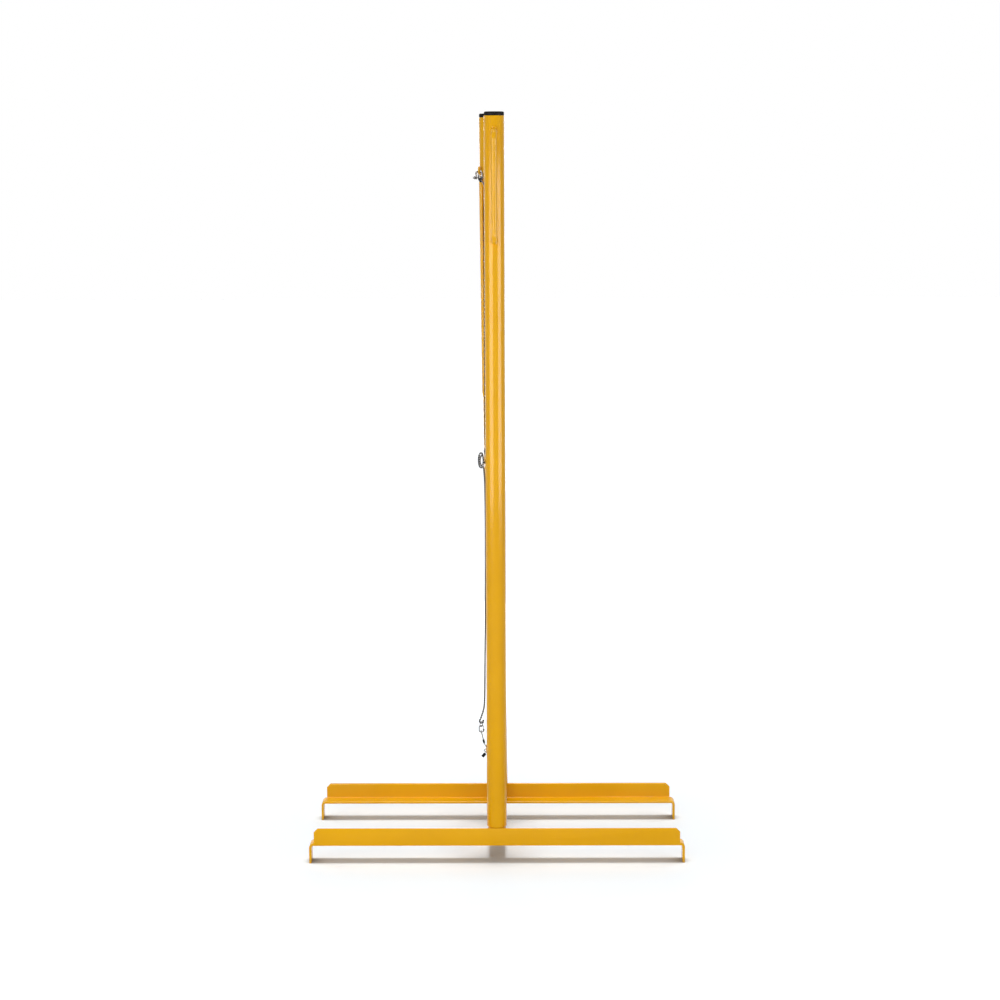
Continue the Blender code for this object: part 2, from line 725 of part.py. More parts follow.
# Foot cord: rear staple, through the foot tape, front staple, two ears, and down the post
rear_bar = REAR @ (staple_bar(REAR_MID_ANGLE) + Vector((0, 0, FOOT_Z)))
foot_rear_end = net_point(TAPE_START + TAPE_LENGTH + mm(9), FOOT_Z)
foot_front_end = net_point(TAPE_START - mm(9), FOOT_Z)
foot_ahead = (foot_rear_end - rear_bar).normalized()
foot_side = Vector((-foot_ahead.y, foot_ahead.x, 0))
FOOT_NECK = mm(15)
cord_points = eye_points(
    rear_bar, foot_ahead, foot_side, mm(6.4), FOOT_NECK, TAIL, 2 * CORD + mm(0.5)
)
cord_points += straight_run(foot_rear_end, foot_front_end)


def about_front(radius, angle, z):
    a = math.radians(angle)
    return Vector((radius * math.cos(a), FRONT_Y + radius * math.sin(a), z))


cord_points += [
    foot_front_end.lerp(about_front(mm(27.8), 112, FOOT_Z), 0.55),
    about_front(mm(27.8), 112, FOOT_Z),
    about_front(mm(27.8), 132, FOOT_Z),
    about_front(mm(28.6), 148, mm(909)),
]
EAR_SMALL = (mm(-30.4), mm(-172.5), mm(915), mm(3.9), mm(11))
EAR_LARGE = (mm(-32.0), mm(-166.5), mm(915), mm(5.4), mm(16.5))


def ear(shape, start, end, drift, count=9):
    """An upright oval loop beside the post, wound once, drifting towards the front."""
    x, y, z, half_wide, half_high = shape
    points = []
    for i in range(count + 1):
        share = i / count
        a = math.radians(start + (end - start) * share)
        points.append(Vector((x + half_wide * math.cos(a), y + drift * share, z + half_high * math.sin(a))))
    return points


cord_points += ear(EAR_LARGE, -10, 300, mm(-2.0), 12)
cord_points += ear(EAR_SMALL, -10, 285, mm(-2.0), 10)
cord_points += [
    Vector((mm(-26.4), mm(-171), mm(898))),
    Vector((mm(-25.0), mm(-166.5), mm(884))),
    Vector((mm(-24.0), mm(-163.5), mm(866))),
    Vector((mm(-23.0), mm(-163), mm(810))),
    Vector((mm(-22.9), mm(-163), mm(700))),
    Vector((mm(-23.9), mm(-163), mm(580))),
    Vector((mm(-25.4), mm(-163), mm(462))),
    Vector((mm(-26.6), mm(-163.4), mm(380))),
    Vector((mm(-28.6), mm(-164.2), mm(350))),
]

# The cord's lower eye goes round the wire of the small ring.
LINK_X, LINK_Y = mm(-34.2), mm(-166)
LINK_TOP, LINK_BOTTOM = mm(311.0), mm(296.5)
RING = mm(6.2)
RING_WIRE = mm(0.9)
LINK_ROD = mm(1.15)
ring_flat = Vector((math.cos(math.radians(60)), math.sin(math.radians(60)), 0))
ring_centre = Vector((LINK_X, LINK_Y, LINK_TOP + RING - RING_WIRE - LINK_ROD - mm(0.4)))
ring_head = ring_centre + Vector((0, 0, RING))
across = Vector((-ring_flat.y, ring_flat.x, 0))
eye_radius = mm(4.0)
for i in range(10):
    a = math.radians(60 - 31.5 * i)
    bulge = across * (eye_radius * math.cos(a)) + Vector((0, 0, eye_radius * math.sin(a)))
    cord_points.append(ring_head + bulge + ring_flat * (mm(-2.6) + mm(0.62) * i))
foot_cord = tube("foot_cord", route(cord_points, mm(0.16)), CORD, 1)
keep(foot_cord, "foot_cord", CORD_GREY, front_axis, FRONT.inverted())
build_ferrule("ferrule_foot_rear", rear_bar, foot_ahead, foot_side, FOOT_NECK, CORD)

ring = tube(
    "small_ring", ring_points(ring_centre, ring_flat, (0, 0, 1), RING, 18), RING_WIRE, 1, closed=True
)
keep(ring, "small_ring", ZINC, front_axis, FRONT.inverted())


# Snap link: a bent rod loop, open on its right side, where a gate closes it
LINK_HALF = mm(5.0)
GATE_LOW = LINK_BOTTOM + mm(4.8)
GATE_HIGH = LINK_TOP - mm(3.4)


def build_snap():
    bend = mm(3.6)
    right, left = LINK_X + LINK_HALF, LINK_X - LINK_HALF
    flat = arc((right - bend, LINK_BOTTOM + bend), bend, -10, -90, 5)
    upset = [1.6, 1.4, 1.15]
    flat += arc((left + bend, LINK_BOTTOM + bend), bend, -90, -180, 5)
    flat += arc((left + bend, LINK_TOP - bend), bend, 180, 90, 5)
    flat += arc((right - bend, LINK_TOP - bend), bend, 90, 15, 5)
    points = [Vector((x, LINK_Y, z)) for x, z in flat]
    scales = upset + [1.0] * (len(points) - len(upset))
    body = tube("snap_body", points, LINK_ROD, 2, radii=scales)
    for side in (-1, 1):
        cheek = cylinder("cheek", mm(2.2), mm(0.9), segments=16)
        cheek.data.transform(frame_along((right, LINK_Y + side * mm(1.55), GATE_LOW), (0, 1, 0)))
        body = combine(body, cheek, "UNION")
        web = cylinder("web", mm(0.5), mm(4.4), segments=8)
        web.data.transform(Matrix.Translation((right - mm(0.1), LINK_Y + side * mm(1.56), GATE_LOW - mm(1.9))))
        body = combine(body, web, "UNION")
    pin = cylinder("gate_pin", mm(0.5), mm(3.4), segments=12)
    pin.data.transform(frame_along((right, LINK_Y, GATE_LOW), (0, 1, 0)))
    body = combine(body, pin, "UNION")
    return keep(body, "snap_body", ZINC, front_axis, FRONT.inverted())


def build_gate():
    """The gate turns about its lower end, where it is bored for the link's pin."""
    right = LINK_X + LINK_HALF
    rod = tube("snap_gate", [(0, 0, 0), (0, 0, GATE_HIGH - GATE_LOW)], mm(0.75), 2)
    knuckle = cylinder("knuckle", mm(1.15), mm(1.4), segments=16)
    knuckle.data.transform(frame_along((0, 0, 0), (0, 1, 0)))
    rod = combine(rod, knuckle, "UNION")
    bore = cylinder("bore", mm(0.8), mm(6), segments=16)
    bore.data.transform(frame_along((0, 0, 0), (0, 1, 0)))
    rod = combine(rod, bore, "DIFFERENCE")
    here = Matrix.Translation((right, LINK_Y, GATE_LOW))
    return keep(rod, "snap_gate", ZINC, front_axis, FRONT.inverted() @ here)


build_snap()
build_gate()


# Wire tail: an eye in the link, a crimp, a turn round the low staple and a stop sleeve
wire_eye = Vector((LINK_X, LINK_Y, LINK_BOTTOM))
wire_ahead = Vector((mm(6.0), mm(0.5), mm(-24))).normalized()
wire_side = Vector((0, 1, 0))
wire_side = (wire_side - wire_ahead * wire_side.dot(wire_ahead)).normalized()
WIRE_NECK = mm(16.5)
wire_points = eye_points(wire_eye, wire_ahead, wire_side, mm(3.4), WIRE_NECK, TAIL, 2 * WIRE + mm(0.5))
low_bar = FRONT @ (staple_bar(FRONT_LOW_ANGLE, LOW_REACH) + Vector((0, 0, LOW_Z)))
low_out = Vector((math.cos(math.radians(FRONT_LOW_ANGLE)), math.sin(math.radians(FRONT_LOW_ANGLE)), 0))
low_on = Vector((-low_out.y, low_out.x, 0))
STOP_AT = Vector((mm(-28.9), mm(-166), mm(242.8)))
STOP_LINE = Vector((mm(-4.6), mm(-1.2), mm(-5.2))).normalized()
wire_points += [
    wire_points[-1] + wire_ahead * mm(3),
    low_bar - low_out * mm(4.1) + low_on * mm(5) + Vector((0, 0, mm(4.5))),
    low_bar - low_out * mm(4.2) + Vector((0, 0, mm(2.2))),
    low_bar - low_on * mm(4.4) + Vector((0, 0, mm(0))),
    low_bar + low_out * mm(4.3) + Vector((0, 0, mm(-2.2))),
    low_bar + low_out * mm(3.6) + low_on * mm(6) + Vector((0, 0, mm(-4.2))),
    STOP_AT - STOP_LINE * mm(7.5),
    STOP_AT - STOP_LINE * mm(4),
    STOP_AT + STOP_LINE * mm(3.5),
]
wire = tube("tail_wire", route(wire_points, mm(0.1)), WIRE, 1)
keep(wire, "tail_wire", STEEL_ROPE, front_axis, FRONT.inverted())
build_ferrule("ferrule_low", wire_eye, wire_ahead, wire_side, WIRE_NECK, WIRE, long=mm(8.5))

stop_profile = [(mm(2.6), mm(5)), (mm(3.4), mm(4.2)), (mm(3.4), mm(-4.2)), (mm(2.6), mm(-5))]
stop_profile += [(WIRE + GAP, mm(-5)), (WIRE + GAP, mm(5))]
stop = lathe("stop_sleeve", stop_profile, 20)
stop.data.transform(frame_along(STOP_AT, STOP_LINE))
keep(stop, "stop_sleeve", BLACK_PLASTIC, front_axis, FRONT.inverted())
bpy.context.view_layer.update()
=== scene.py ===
# %% [markdown]
# # A free-standing net on two yellow posts
#
# The stand is a steel frame: two bent angle feet, a tube between them, two posts that
# stand loose on spigots, and a narrow net strung between the posts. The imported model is
# loaded first as a fixed frame. Everything below is placed by it, in metres, with +Z up.

# %% Load the frame
import math

import bmesh
import bpy
from bmesh.types import BMEdge, BMFace, BMVert
from mathutils import Matrix, Vector, noise


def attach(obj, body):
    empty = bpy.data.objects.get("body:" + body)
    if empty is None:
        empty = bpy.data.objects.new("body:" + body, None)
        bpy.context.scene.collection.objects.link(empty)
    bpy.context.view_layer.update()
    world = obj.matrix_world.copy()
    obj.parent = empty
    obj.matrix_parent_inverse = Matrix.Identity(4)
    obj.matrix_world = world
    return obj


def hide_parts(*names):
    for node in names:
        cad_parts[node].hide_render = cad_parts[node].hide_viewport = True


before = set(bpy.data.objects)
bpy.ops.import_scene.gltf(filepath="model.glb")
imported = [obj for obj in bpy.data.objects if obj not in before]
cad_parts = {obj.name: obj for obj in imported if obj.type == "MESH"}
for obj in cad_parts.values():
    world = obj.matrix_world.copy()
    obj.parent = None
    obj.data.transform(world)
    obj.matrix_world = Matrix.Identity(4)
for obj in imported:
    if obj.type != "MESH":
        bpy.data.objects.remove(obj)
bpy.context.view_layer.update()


def mm(value):
    return value / 1000.0

# %% [markdown]
# ## Camera
#
# The photograph is taken at a standing person's eye height with a long lens, so the
# stand shows almost without perspective. Three turns aim the camera: a hair to the left,
# down to the middle of the posts, and the slight tilt of a hand-held frame.

# %% Camera
CAMERA_PLACE = (0.050, -5.5183, 1.6103)
CAMERA_YAW = 0.0075
CAMERA_PITCH = 0.1456
CAMERA_ROLL = -0.0039
LENS_MM = 87.48
SENSOR_MM = 36.0

camera_data = bpy.data.cameras.new("camera")
camera_data.lens = LENS_MM
camera_data.sensor_width = SENSOR_MM
camera = bpy.data.objects.new("camera", camera_data)
turn = Matrix.Rotation(CAMERA_YAW, 4, "Z")
turn = turn @ Matrix.Rotation(math.radians(90) - CAMERA_PITCH, 4, "X")
turn = turn @ Matrix.Rotation(CAMERA_ROLL, 4, "Z")
camera.matrix_world = Matrix.Translation(CAMERA_PLACE) @ turn
bpy.context.scene.collection.objects.link(camera)
bpy.context.scene.camera = camera
print("camera stands", round(math.hypot(*CAMERA_PLACE[:2]), 2), "m away, lens", LENS_MM, "mm")

# %% [markdown]
# ## The stand's main sizes
#
# The sizes are those of the steel sections: 40 mm angle, a 44.5 mm tube and 12 mm rod.
# The rear post leans a little on its loose spigot, so its pieces are built upright about
# their own axis and then set into REAR, the leaning frame.

# %% Sizes and the two posts' frames
FRONT_Y, REAR_Y = -0.175, 0.175
REAR_LEAN = math.radians(-0.60)
LEAN_PIVOT_Z = 0.140
POST_RADIUS = mm(22.25)
POST_BORE = mm(18.25)
POST_BOTTOM = mm(81.1)
POST_TOP = 1.671
TOTAL_HEIGHT = 1.680
FLANGE_UNDER = mm(40.5)
ANGLE_SIZE = mm(40)
ANGLE_THICK = mm(5)
HEAD_Z = 1.520
FOOT_Z = 0.906

UPRIGHT = Matrix.Identity(4)
FRONT = Matrix.Translation((0, FRONT_Y, 0))
REAR = Matrix.Translation((0, REAR_Y, LEAN_PIVOT_Z)) @ Matrix.Rotation(REAR_LEAN, 4, "Y")
REAR = REAR @ Matrix.Translation((0, 0, -LEAN_PIVOT_Z))
lean_at_top = (REAR @ Vector((0, 0, POST_TOP))).x
print("the rear post's top stands", round(lean_at_top * 1000, 1), "mm to the side")

# %% [markdown]
# ## Routes of the ropes
#
# Ropes are settled before anything is dressed, because their routes tie the hardware
# together. A route is a short list of points that the rope passes; a smooth curve
# through them gives the centreline. An eye at a rope's end is a loop whose tail comes
# back beside the main strand, where a sleeve holds both. All bends and rings are arcs.

# %% Arcs
def arc(centre, radius, start, end, count):
    """Points of an arc in a plane, angles in degrees."""
    angles = [math.radians(start + (end - start) * i / count) for i in range(count + 1)]
    cx, cy = centre
    return [(cx + radius * math.cos(a), cy + radius * math.sin(a)) for a in angles]


def about_post(radius, angle, z):
    """A point about a post's own axis."""
    turned = math.radians(angle)
    return Vector((radius * math.cos(turned), radius * math.sin(turned), z))


print("a quarter arc of 4 steps has", len(arc((0, 0), mm(10), 0, 90, 4)), "points")

# %% [markdown]
# ## Smooth routes
#
# A curve object could carry a rope too. Here the curve is worked out as points, so that
# its length is known, its steps are even, and the strands keep one lay all along it.

# %% Smooth routes
def even_steps(points, spacing):
    """The same line, stepped at an even spacing."""
    lengths = [0.0]
    for before, after in zip(points, points[1:]):
        lengths.append(lengths[-1] + (after - before).length)
    count = max(2, round(lengths[-1] / spacing))
    stepped, i = [], 0
    for j in range(count + 1):
        want = lengths[-1] * j / count
        while i < len(lengths) - 2 and lengths[i + 1] < want:
            i += 1
        share = (want - lengths[i]) / max(lengths[i + 1] - lengths[i], 1e-9)
        stepped.append(points[i].lerp(points[i + 1], min(share, 1.0)))
    return stepped


def smooth_route(points, spacing):
    """A centripetal curve through the points, stepped evenly."""
    knots = [Vector(p) for p in points]
    knots = [knots[0] * 2 - knots[1], *knots, knots[-1] * 2 - knots[-2]]
    fine = []
    for p0, p1, p2, p3 in zip(knots, knots[1:], knots[2:], knots[3:]):
        t1 = (p1 - p0).length ** 0.5
        t2 = t1 + (p2 - p1).length ** 0.5
        t3 = t2 + (p3 - p2).length ** 0.5
        for j in range(24):
            t = t1 + (t2 - t1) * j / 24
            a1 = p0.lerp(p1, t / t1)
            a2 = p1.lerp(p2, (t - t1) / (t2 - t1))
            a3 = p2.lerp(p3, (t - t2) / (t3 - t2))
            b1 = a1.lerp(a2, t / t2)
            b2 = a2.lerp(a3, (t - t1) / (t3 - t1))
            fine.append(b1.lerp(b2, (t - t1) / (t2 - t1)))
    fine.append(knots[-2])
    return even_steps(fine, spacing)


def straight_run(first, last):
    """Points of a straight stretch, close together at its ends so that it stays straight."""
    along = (last - first).normalized()
    return [first, first + along * mm(5), first.lerp(last, 0.5), last - along * mm(5), last]


trial_route = smooth_route([(0, 0, 0), (mm(50), 0, 0), (mm(50), mm(50), 0)], mm(5))
print("a trial route round a corner has", len(trial_route), "points")

# %% [markdown]
# ## Eyes at a rope's end
#
# An eye is drawn flat: along the main strand and across it. The same short points are
# then laid in any direction, so one function serves all the ropes.

# %% Eyes at a rope's end
EYE_OPENS = 62  # degrees from the main strand to where the loop begins


def eye_points(centre, ahead, side, radius, neck, tail, gap):
    """An eye at a rope's end: tail, round the eye, and out along the main strand."""
    centre, ahead, side = Vector(centre), Vector(ahead).normalized(), Vector(side).normalized()
    straight = (tail, tail * 0.5, mm(1.5), 0.0)
    flat = [(neck + run, -gap) for run in straight]
    flat += arc((0, 0), radius, -EYE_OPENS, EYE_OPENS - 360, 10)
    flat += [(neck + run, 0.0) for run in reversed(straight)]
    return [centre + ahead * u + side * w for u, w in flat]


trial_eye = eye_points((0, 0, 0), (1, 0, 0), (0, 1, 0), mm(6), mm(13), mm(9), mm(4))
print("an eye is drawn with", len(trial_eye), "points")

# %% [markdown]
# ## Shackle lines
#
# The rear eye carries a shackle that hangs down towards the net, with a level pin
# through the head cable's eye. Its line of pull sets where the cable ends.

# %% Shackle lines, in the rear post's frame
EYE_CENTRE = Vector((mm(-23.7), mm(-15), mm(1549)))
EYE_RING, EYE_ROD = mm(7.4), mm(2.25)
SHACKLE_ROD, SHACKLE_HALF, SHACKLE_LONG = mm(2.25), mm(6.4), mm(20)
SEAT_DEG, PULL_DEG = 45.0, 46.0


def down_and_front(angle):
    """A direction in the post's side plane, turned down from the front by an angle."""
    return Vector((0, -math.cos(math.radians(angle)), -math.sin(math.radians(angle))))


crown = EYE_CENTRE + down_and_front(SEAT_DEG) * (EYE_RING - EYE_ROD - SHACKLE_ROD - mm(1.0))
pull = down_and_front(PULL_DEG)
pin_axis = Vector((1, 0, 0))
pin_centre = crown + pull * SHACKLE_LONG
pin_world = REAR @ pin_centre
pin_axis_world = (REAR.to_3x3() @ pin_axis).normalized()
print("the shackle's pin lies", round(pin_world.z, 4), "m above the floor")

# %% [markdown]
# ## Where the net hangs
#
# The net hangs in an upright plane, from a staple on the front post to the side of the
# rear post. Everything on it is built in NET, a frame whose Y runs along the net, so a
# twist of the plane costs nothing.

# %% Staples and the net's plane
STAPLES = {
    "staple_front_top": (FRONT, 115, HEAD_Z, mm(3), mm(14), mm(9)),
    "staple_front_mid": (FRONT, 125, FOOT_Z, mm(3), mm(14), mm(9)),
    "staple_front_low": (FRONT, 135, mm(255), mm(2.5), mm(8.25), mm(11)),
    "staple_rear_mid": (REAR, -95, FOOT_Z, mm(3), mm(14), mm(9)),
}


def staple_bar(name):
    """The middle of a staple's upright bar."""
    post, angle, z, rod, reach, half = STAPLES[name]
    return post @ about_post(POST_RADIUS + reach, angle, z)


net_start = staple_bar("staple_front_top")
net_end = Vector((mm(-25.5), mm(78), HEAD_Z))
net_line = (net_end - net_start).normalized()
NET = Matrix.Translation((net_start.x, net_start.y, 0))
NET = NET @ Matrix.Rotation(math.atan2(-net_line.x, net_line.y), 4, "Z")
MESH_COLUMNS, MESH_ROWS = 6, 18
MESH_SQUARE = mm(30)
MESH_START, MESH_WIDTH = mm(35), MESH_COLUMNS * MESH_SQUARE
MESH_BOTTOM, MESH_TOP = FOOT_Z + mm(28.5), HEAD_Z - mm(43.5)
TAPE_START, TAPE_LENGTH = mm(29), MESH_WIDTH + mm(12)
TAPE_END = TAPE_START + TAPE_LENGTH


def net_point(y, z):
    return NET @ Vector((0, y, z))


print("net", round(MESH_WIDTH, 3), "m wide and", round(MESH_TOP - MESH_BOTTOM, 3), "m high")

# %% [markdown]
# ## Head cable
#
# A steel rope runs through the top tape. One eye goes round the front staple's bar and
# the other round the shackle's pin, so both of its ends follow from those two pieces.

# %% Head cable
CABLE, CORD, WIRE = mm(1.5), mm(2.0), mm(1.0)
CABLE_NECK, FOOT_NECK, WIRE_NECK, TAIL = mm(13), mm(15), mm(16.5), mm(9)
CABLE_EYE, FOOT_EYE, WIRE_EYE = mm(5.6), mm(6.4), mm(3.4)
CABLE_STEP, CORD_STEP = mm(0.9), mm(0.5)


def strand_gap(rope):
    """How far apart a sleeve holds the two strands of a rope."""
    return 2 * rope + mm(0.5)


def route_length(line, step):
    return round(step * (len(line) - 1) * 1000)


tape_front = net_point(TAPE_START - mm(2), HEAD_Z)
tape_rear = net_point(TAPE_END + mm(9), HEAD_Z)
head_ahead = (tape_rear - pin_world).normalized()
head_side = head_ahead.cross(pin_axis_world).normalized()
front_side = Vector((net_line.y, -net_line.x, 0))
cable_eye = (CABLE_EYE, CABLE_NECK, TAIL, strand_gap(CABLE))
cable_points = eye_points(net_start, net_line, front_side, *cable_eye)
cable_points += straight_run(tape_front, tape_rear)
cable_points += reversed(eye_points(pin_world, head_ahead, head_side, *cable_eye))
head_cable_line = smooth_route(cable_points, CABLE_STEP)
print("head cable", route_length(head_cable_line, CABLE_STEP), "mm long")

# %% [markdown]
# ## Foot cord
#
# One twisted cord does several jobs: it is tied to the rear staple, runs through the
# bottom tape and round the front staple, makes the two ears of its tie, and hangs down
# beside the front post to a small ring. The ears are ovals that drift towards the front,
# so that each turn lies beside the one before.

# %% Ears of the tie
def ear(shape, start, end, drift, count):
    """An upright oval loop beside the post, wound once, drifting towards the front."""
    x, y, z, half_wide, half_high = shape
    points = []
    for i in range(count + 1):
        share = i / count
        a = math.radians(start + (end - start) * share)
        across, up = half_wide * math.cos(a), half_high * math.sin(a)
        points.append(Vector((x + across, y + drift * share, z + up)))
    return points


EAR_LARGE = (mm(-32.0), mm(-166.5), mm(915), mm(5.4), mm(16.5))
EAR_SMALL = (mm(-30.4), mm(-172.5), mm(915), mm(3.9), mm(11))
print("the large ear is", round(2000 * EAR_LARGE[4]), "mm high")

# %% [markdown]
# ## The foot cord's route
#
# The eye, the straight run, the turn round the staple and the ears are put one after
# the other. Below them the cord hangs free, so its points are read off the photograph.

# %% Foot cord
rear_bar = staple_bar("staple_rear_mid")
foot_rear_end = net_point(TAPE_END + mm(9), FOOT_Z)
foot_front_end = net_point(TAPE_START - mm(9), FOOT_Z)
foot_ahead = (foot_rear_end - rear_bar).normalized()
foot_side = Vector((-foot_ahead.y, foot_ahead.x, 0))
round_staple = [FRONT @ about_post(mm(27.8), angle, FOOT_Z) for angle in (112, 132)]
DOWN_THE_POST = [  # millimetres
    (-26.4, -171, 898),
    (-25.0, -166.5, 884),
    (-24.0, -163.5, 866),
    (-23.0, -163, 810),
    (-22.9, -163, 700),
    (-23.9, -163, 580),
    (-25.4, -163, 462),
    (-26.6, -163.4, 380),
    (-28.6, -164.2, 350),
]

foot_eye = (FOOT_EYE, FOOT_NECK, TAIL, strand_gap(CORD))
cord_points = eye_points(rear_bar, foot_ahead, foot_side, *foot_eye)
cord_points += straight_run(foot_rear_end, foot_front_end)
cord_points.append(foot_front_end.lerp(round_staple[0], 0.55))
cord_points += round_staple
cord_points.append(FRONT @ about_post(mm(28.6), 148, mm(909)))
cord_points += ear(EAR_LARGE, -10, 300, mm(-2.0), 12)
cord_points += ear(EAR_SMALL, -10, 285, mm(-2.0), 10)
cord_points += [Vector(mm(value) for value in point) for point in DOWN_THE_POST]
print("foot cord passes", len(cord_points), "points so far")

# %% [markdown]
# ## The foot cord's lower end
#
# The snap link, the ring above it and the cord's knot hang on each other, so the ring
# is placed from the link's top and the cord's last turns from the ring's top.

# %% Lower end of the foot cord
LINK_X, LINK_Y, LINK_TOP, LINK_BOTTOM = mm(-34.2), mm(-166), mm(311.0), mm(296.5)
LINK_HALF, LINK_ROD = mm(5.0), mm(1.15)
RING, RING_WIRE, RING_DEG = mm(6.2), mm(0.9), 60
KNOT_POINTS, KNOT_BEGINS, KNOT_TURN = 10, 60, 31.5
KNOT_RADIUS, KNOT_START, KNOT_PITCH = mm(4.0), mm(-2.6), mm(0.62)
ring_flat = about_post(1.0, RING_DEG, 0)
across = Vector((-ring_flat.y, ring_flat.x, 0))
ring_centre = Vector((LINK_X, LINK_Y, LINK_TOP + RING - RING_WIRE - LINK_ROD - mm(0.4)))
ring_head = ring_centre + Vector((0, 0, RING))
for i in range(KNOT_POINTS):
    a = math.radians(KNOT_BEGINS - KNOT_TURN * i)
    bulge = across * (KNOT_RADIUS * math.cos(a)) + Vector((0, 0, KNOT_RADIUS * math.sin(a)))
    cord_points.append(ring_head + bulge + ring_flat * (KNOT_START + KNOT_PITCH * i))
foot_cord_line = smooth_route(cord_points, CORD_STEP)
print("foot cord", route_length(foot_cord_line, CORD_STEP), "mm long")

# %% [markdown]
# ## Tail wire
#
# A thin wire rope has its eye in the snap link's lower bend. It goes once round the
# low staple and ends in a plastic stop.

# %% Tail wire
wire_eye = Vector((LINK_X, LINK_Y, LINK_BOTTOM))
wire_ahead = Vector((mm(6.0), mm(0.5), mm(-24))).normalized()
wire_side = Vector((0, 1, 0))
wire_side = (wire_side - wire_ahead * wire_side.dot(wire_ahead)).normalized()
low_bar = staple_bar("staple_front_low")
low_out = about_post(1.0, STAPLES["staple_front_low"][1], 0)
low_on = Vector((-low_out.y, low_out.x, 0))


def by_low_staple(out, on, up):
    """A point beside the low staple's bar, in millimetres: outwards, round the post, up."""
    return low_bar + low_out * mm(out) + low_on * mm(on) + Vector((0, 0, mm(up)))


STOP_AT = Vector((mm(-28.9), mm(-166), mm(242.8)))
STOP_LINE = Vector((mm(-4.6), mm(-1.2), mm(-5.2))).normalized()
tail_eye = (WIRE_EYE, WIRE_NECK, TAIL, strand_gap(WIRE))
wire_points = eye_points(wire_eye, wire_ahead, wire_side, *tail_eye)
wire_points += [
    wire_points[-1] + wire_ahead * mm(3),
    by_low_staple(-4.1, 5, 4.5),
    by_low_staple(-4.2, 0, 2.2),
    by_low_staple(0, -4.4, 0),
    by_low_staple(4.3, 0, -2.2),
    by_low_staple(3.6, 6, -4.2),
    STOP_AT - STOP_LINE * mm(7.5),
    STOP_AT - STOP_LINE * mm(4),
    STOP_AT + STOP_LINE * mm(3.5),
]
wire_line = smooth_route(wire_points, CORD_STEP)
print("tail wire", route_length(wire_line, CORD_STEP), "mm long")

# %% [markdown]
# ## Shader nodes
#
# Every finish below, the floor and the background are small node trees. A few helpers
# keep them short: they set and link a node in one line, and tell a ray that looks (camera,
# mirror, glass) from one that only gathers light.

# %% Node helpers
def set_inputs(tree, node, **settings):
    """Sets a node's inputs by name. A value that is another node's output is linked."""
    for name, value in settings.items():
        socket = node.inputs[name.replace("_", " ")]
        if isinstance(value, bpy.types.NodeSocket):
            tree.links.new(value, socket)
        else:
            socket.default_value = value


def add_node(tree, kind, **settings):
    """A shader node; settings name its attributes or, failing that, its inputs."""
    made = tree.nodes.new("ShaderNode" + kind)
    for name in [name for name in settings if hasattr(made, name)]:
        setattr(made, name, settings.pop(name))
    set_inputs(tree, made, **settings)
    return made


def worked_out(tree, operation, first, second):
    """A Math node between two outputs."""
    made = add_node(tree, "Math", operation=operation)
    tree.links.new(first, made.inputs[0])
    tree.links.new(second, made.inputs[1])
    return made.outputs[0]


def is_seen(tree):
    """1 where a camera, mirror or glass ray asks, 0 where light is gathered."""
    path = add_node(tree, "LightPath").outputs
    looked_at = worked_out(tree, "MAXIMUM", path["Is Camera Ray"], path["Is Glossy Ray"])
    return worked_out(tree, "MAXIMUM", looked_at, path["Is Transmission Ray"])


print("node helpers are set")

# %% [markdown]
# ## Patterns
#
# Noise makes every finish uneven. A ramp stretches a part of the noise to the range
# that is wanted, and a mix uses the result to lay one colour over another.

# %% Patterns and mixes
def noise_field(tree, where, scale, detail=3.0, rough=0.5, stretch=None):
    """A noise texture's value, stretched along an axis where asked."""
    if stretch is not None:
        where = add_node(tree, "Mapping", Vector=where, Scale=stretch).outputs["Vector"]
    settings = {"Scale": scale, "Detail": detail, "Roughness": rough}
    return add_node(tree, "TexNoise", Vector=where, **settings).outputs["Fac"]


def ramp(tree, value, low, high, start, end):
    """Maps a value from low..high to start..end, clamped."""
    ends = {"From_Min": low, "From_Max": high, "To_Min": start, "To_Max": end}
    return add_node(tree, "MapRange", Value=value, **ends).outputs["Result"]


def mixed(tree, factor, first, second):
    """A colour between two: each is a colour or another node's output."""
    made = add_node(tree, "Mix", data_type="RGBA")
    tree.links.new(factor, made.inputs["Factor"])
    for socket, colour in (("A", first), ("B", second)):
        target = [s for s in made.inputs if s.name == socket and s.type == "RGBA"][0]
        if isinstance(colour, bpy.types.NodeSocket):
            tree.links.new(colour, target)
        else:
            target.default_value = (*colour, 1.0)
    return [s for s in made.outputs if s.type == "RGBA"][0]


print("pattern helpers are set")

# %% [markdown]
# ## Background
#
# A white studio: the world is white to the camera and to reflections, and only a faint
# lamp, so that the boards and boxes below shape the light.

# %% World
AMBIENT = 0.10

world = bpy.data.worlds.new("studio")
world.use_nodes = True
bpy.context.scene.world = world
sky = world.node_tree
strength = ramp(sky, is_seen(sky), 0.0, 1.0, AMBIENT, 1.0)
set_inputs(sky, sky.nodes["Background"], Color=(1, 1, 1, 1), Strength=strength)
print("world gives", AMBIENT, "as a lamp")

# %% [markdown]
# ## Floor
#
# White paper that keeps the stand's shadow. Light that bounces from it is held back, so
# that the stand isn't lit from below. Where the steel hangs close over the paper, an
# ambient occlusion node darkens the paper's colour: a painted shadow, added to the lamps'
# shadow, deeper beside the legs. Away from the stand the paper glows a little, and so it
# stays white up to the horizon.

# %% Floor paper
FLOOR_WHITE, FLOOR_PAINTED_SHADOW = (0.93, 0.97, 1.0), (0.20, 0.235, 0.27)
FLOOR_BOUNCE = (0.70, 0.70, 0.70)
SHADOW_REACH, SHADOW_FULL, SHADOW_NONE = 0.10, 0.22, 0.78
GLOW_START, GLOW_END, GLOW_FAR = 0.5, 2.2, 0.42

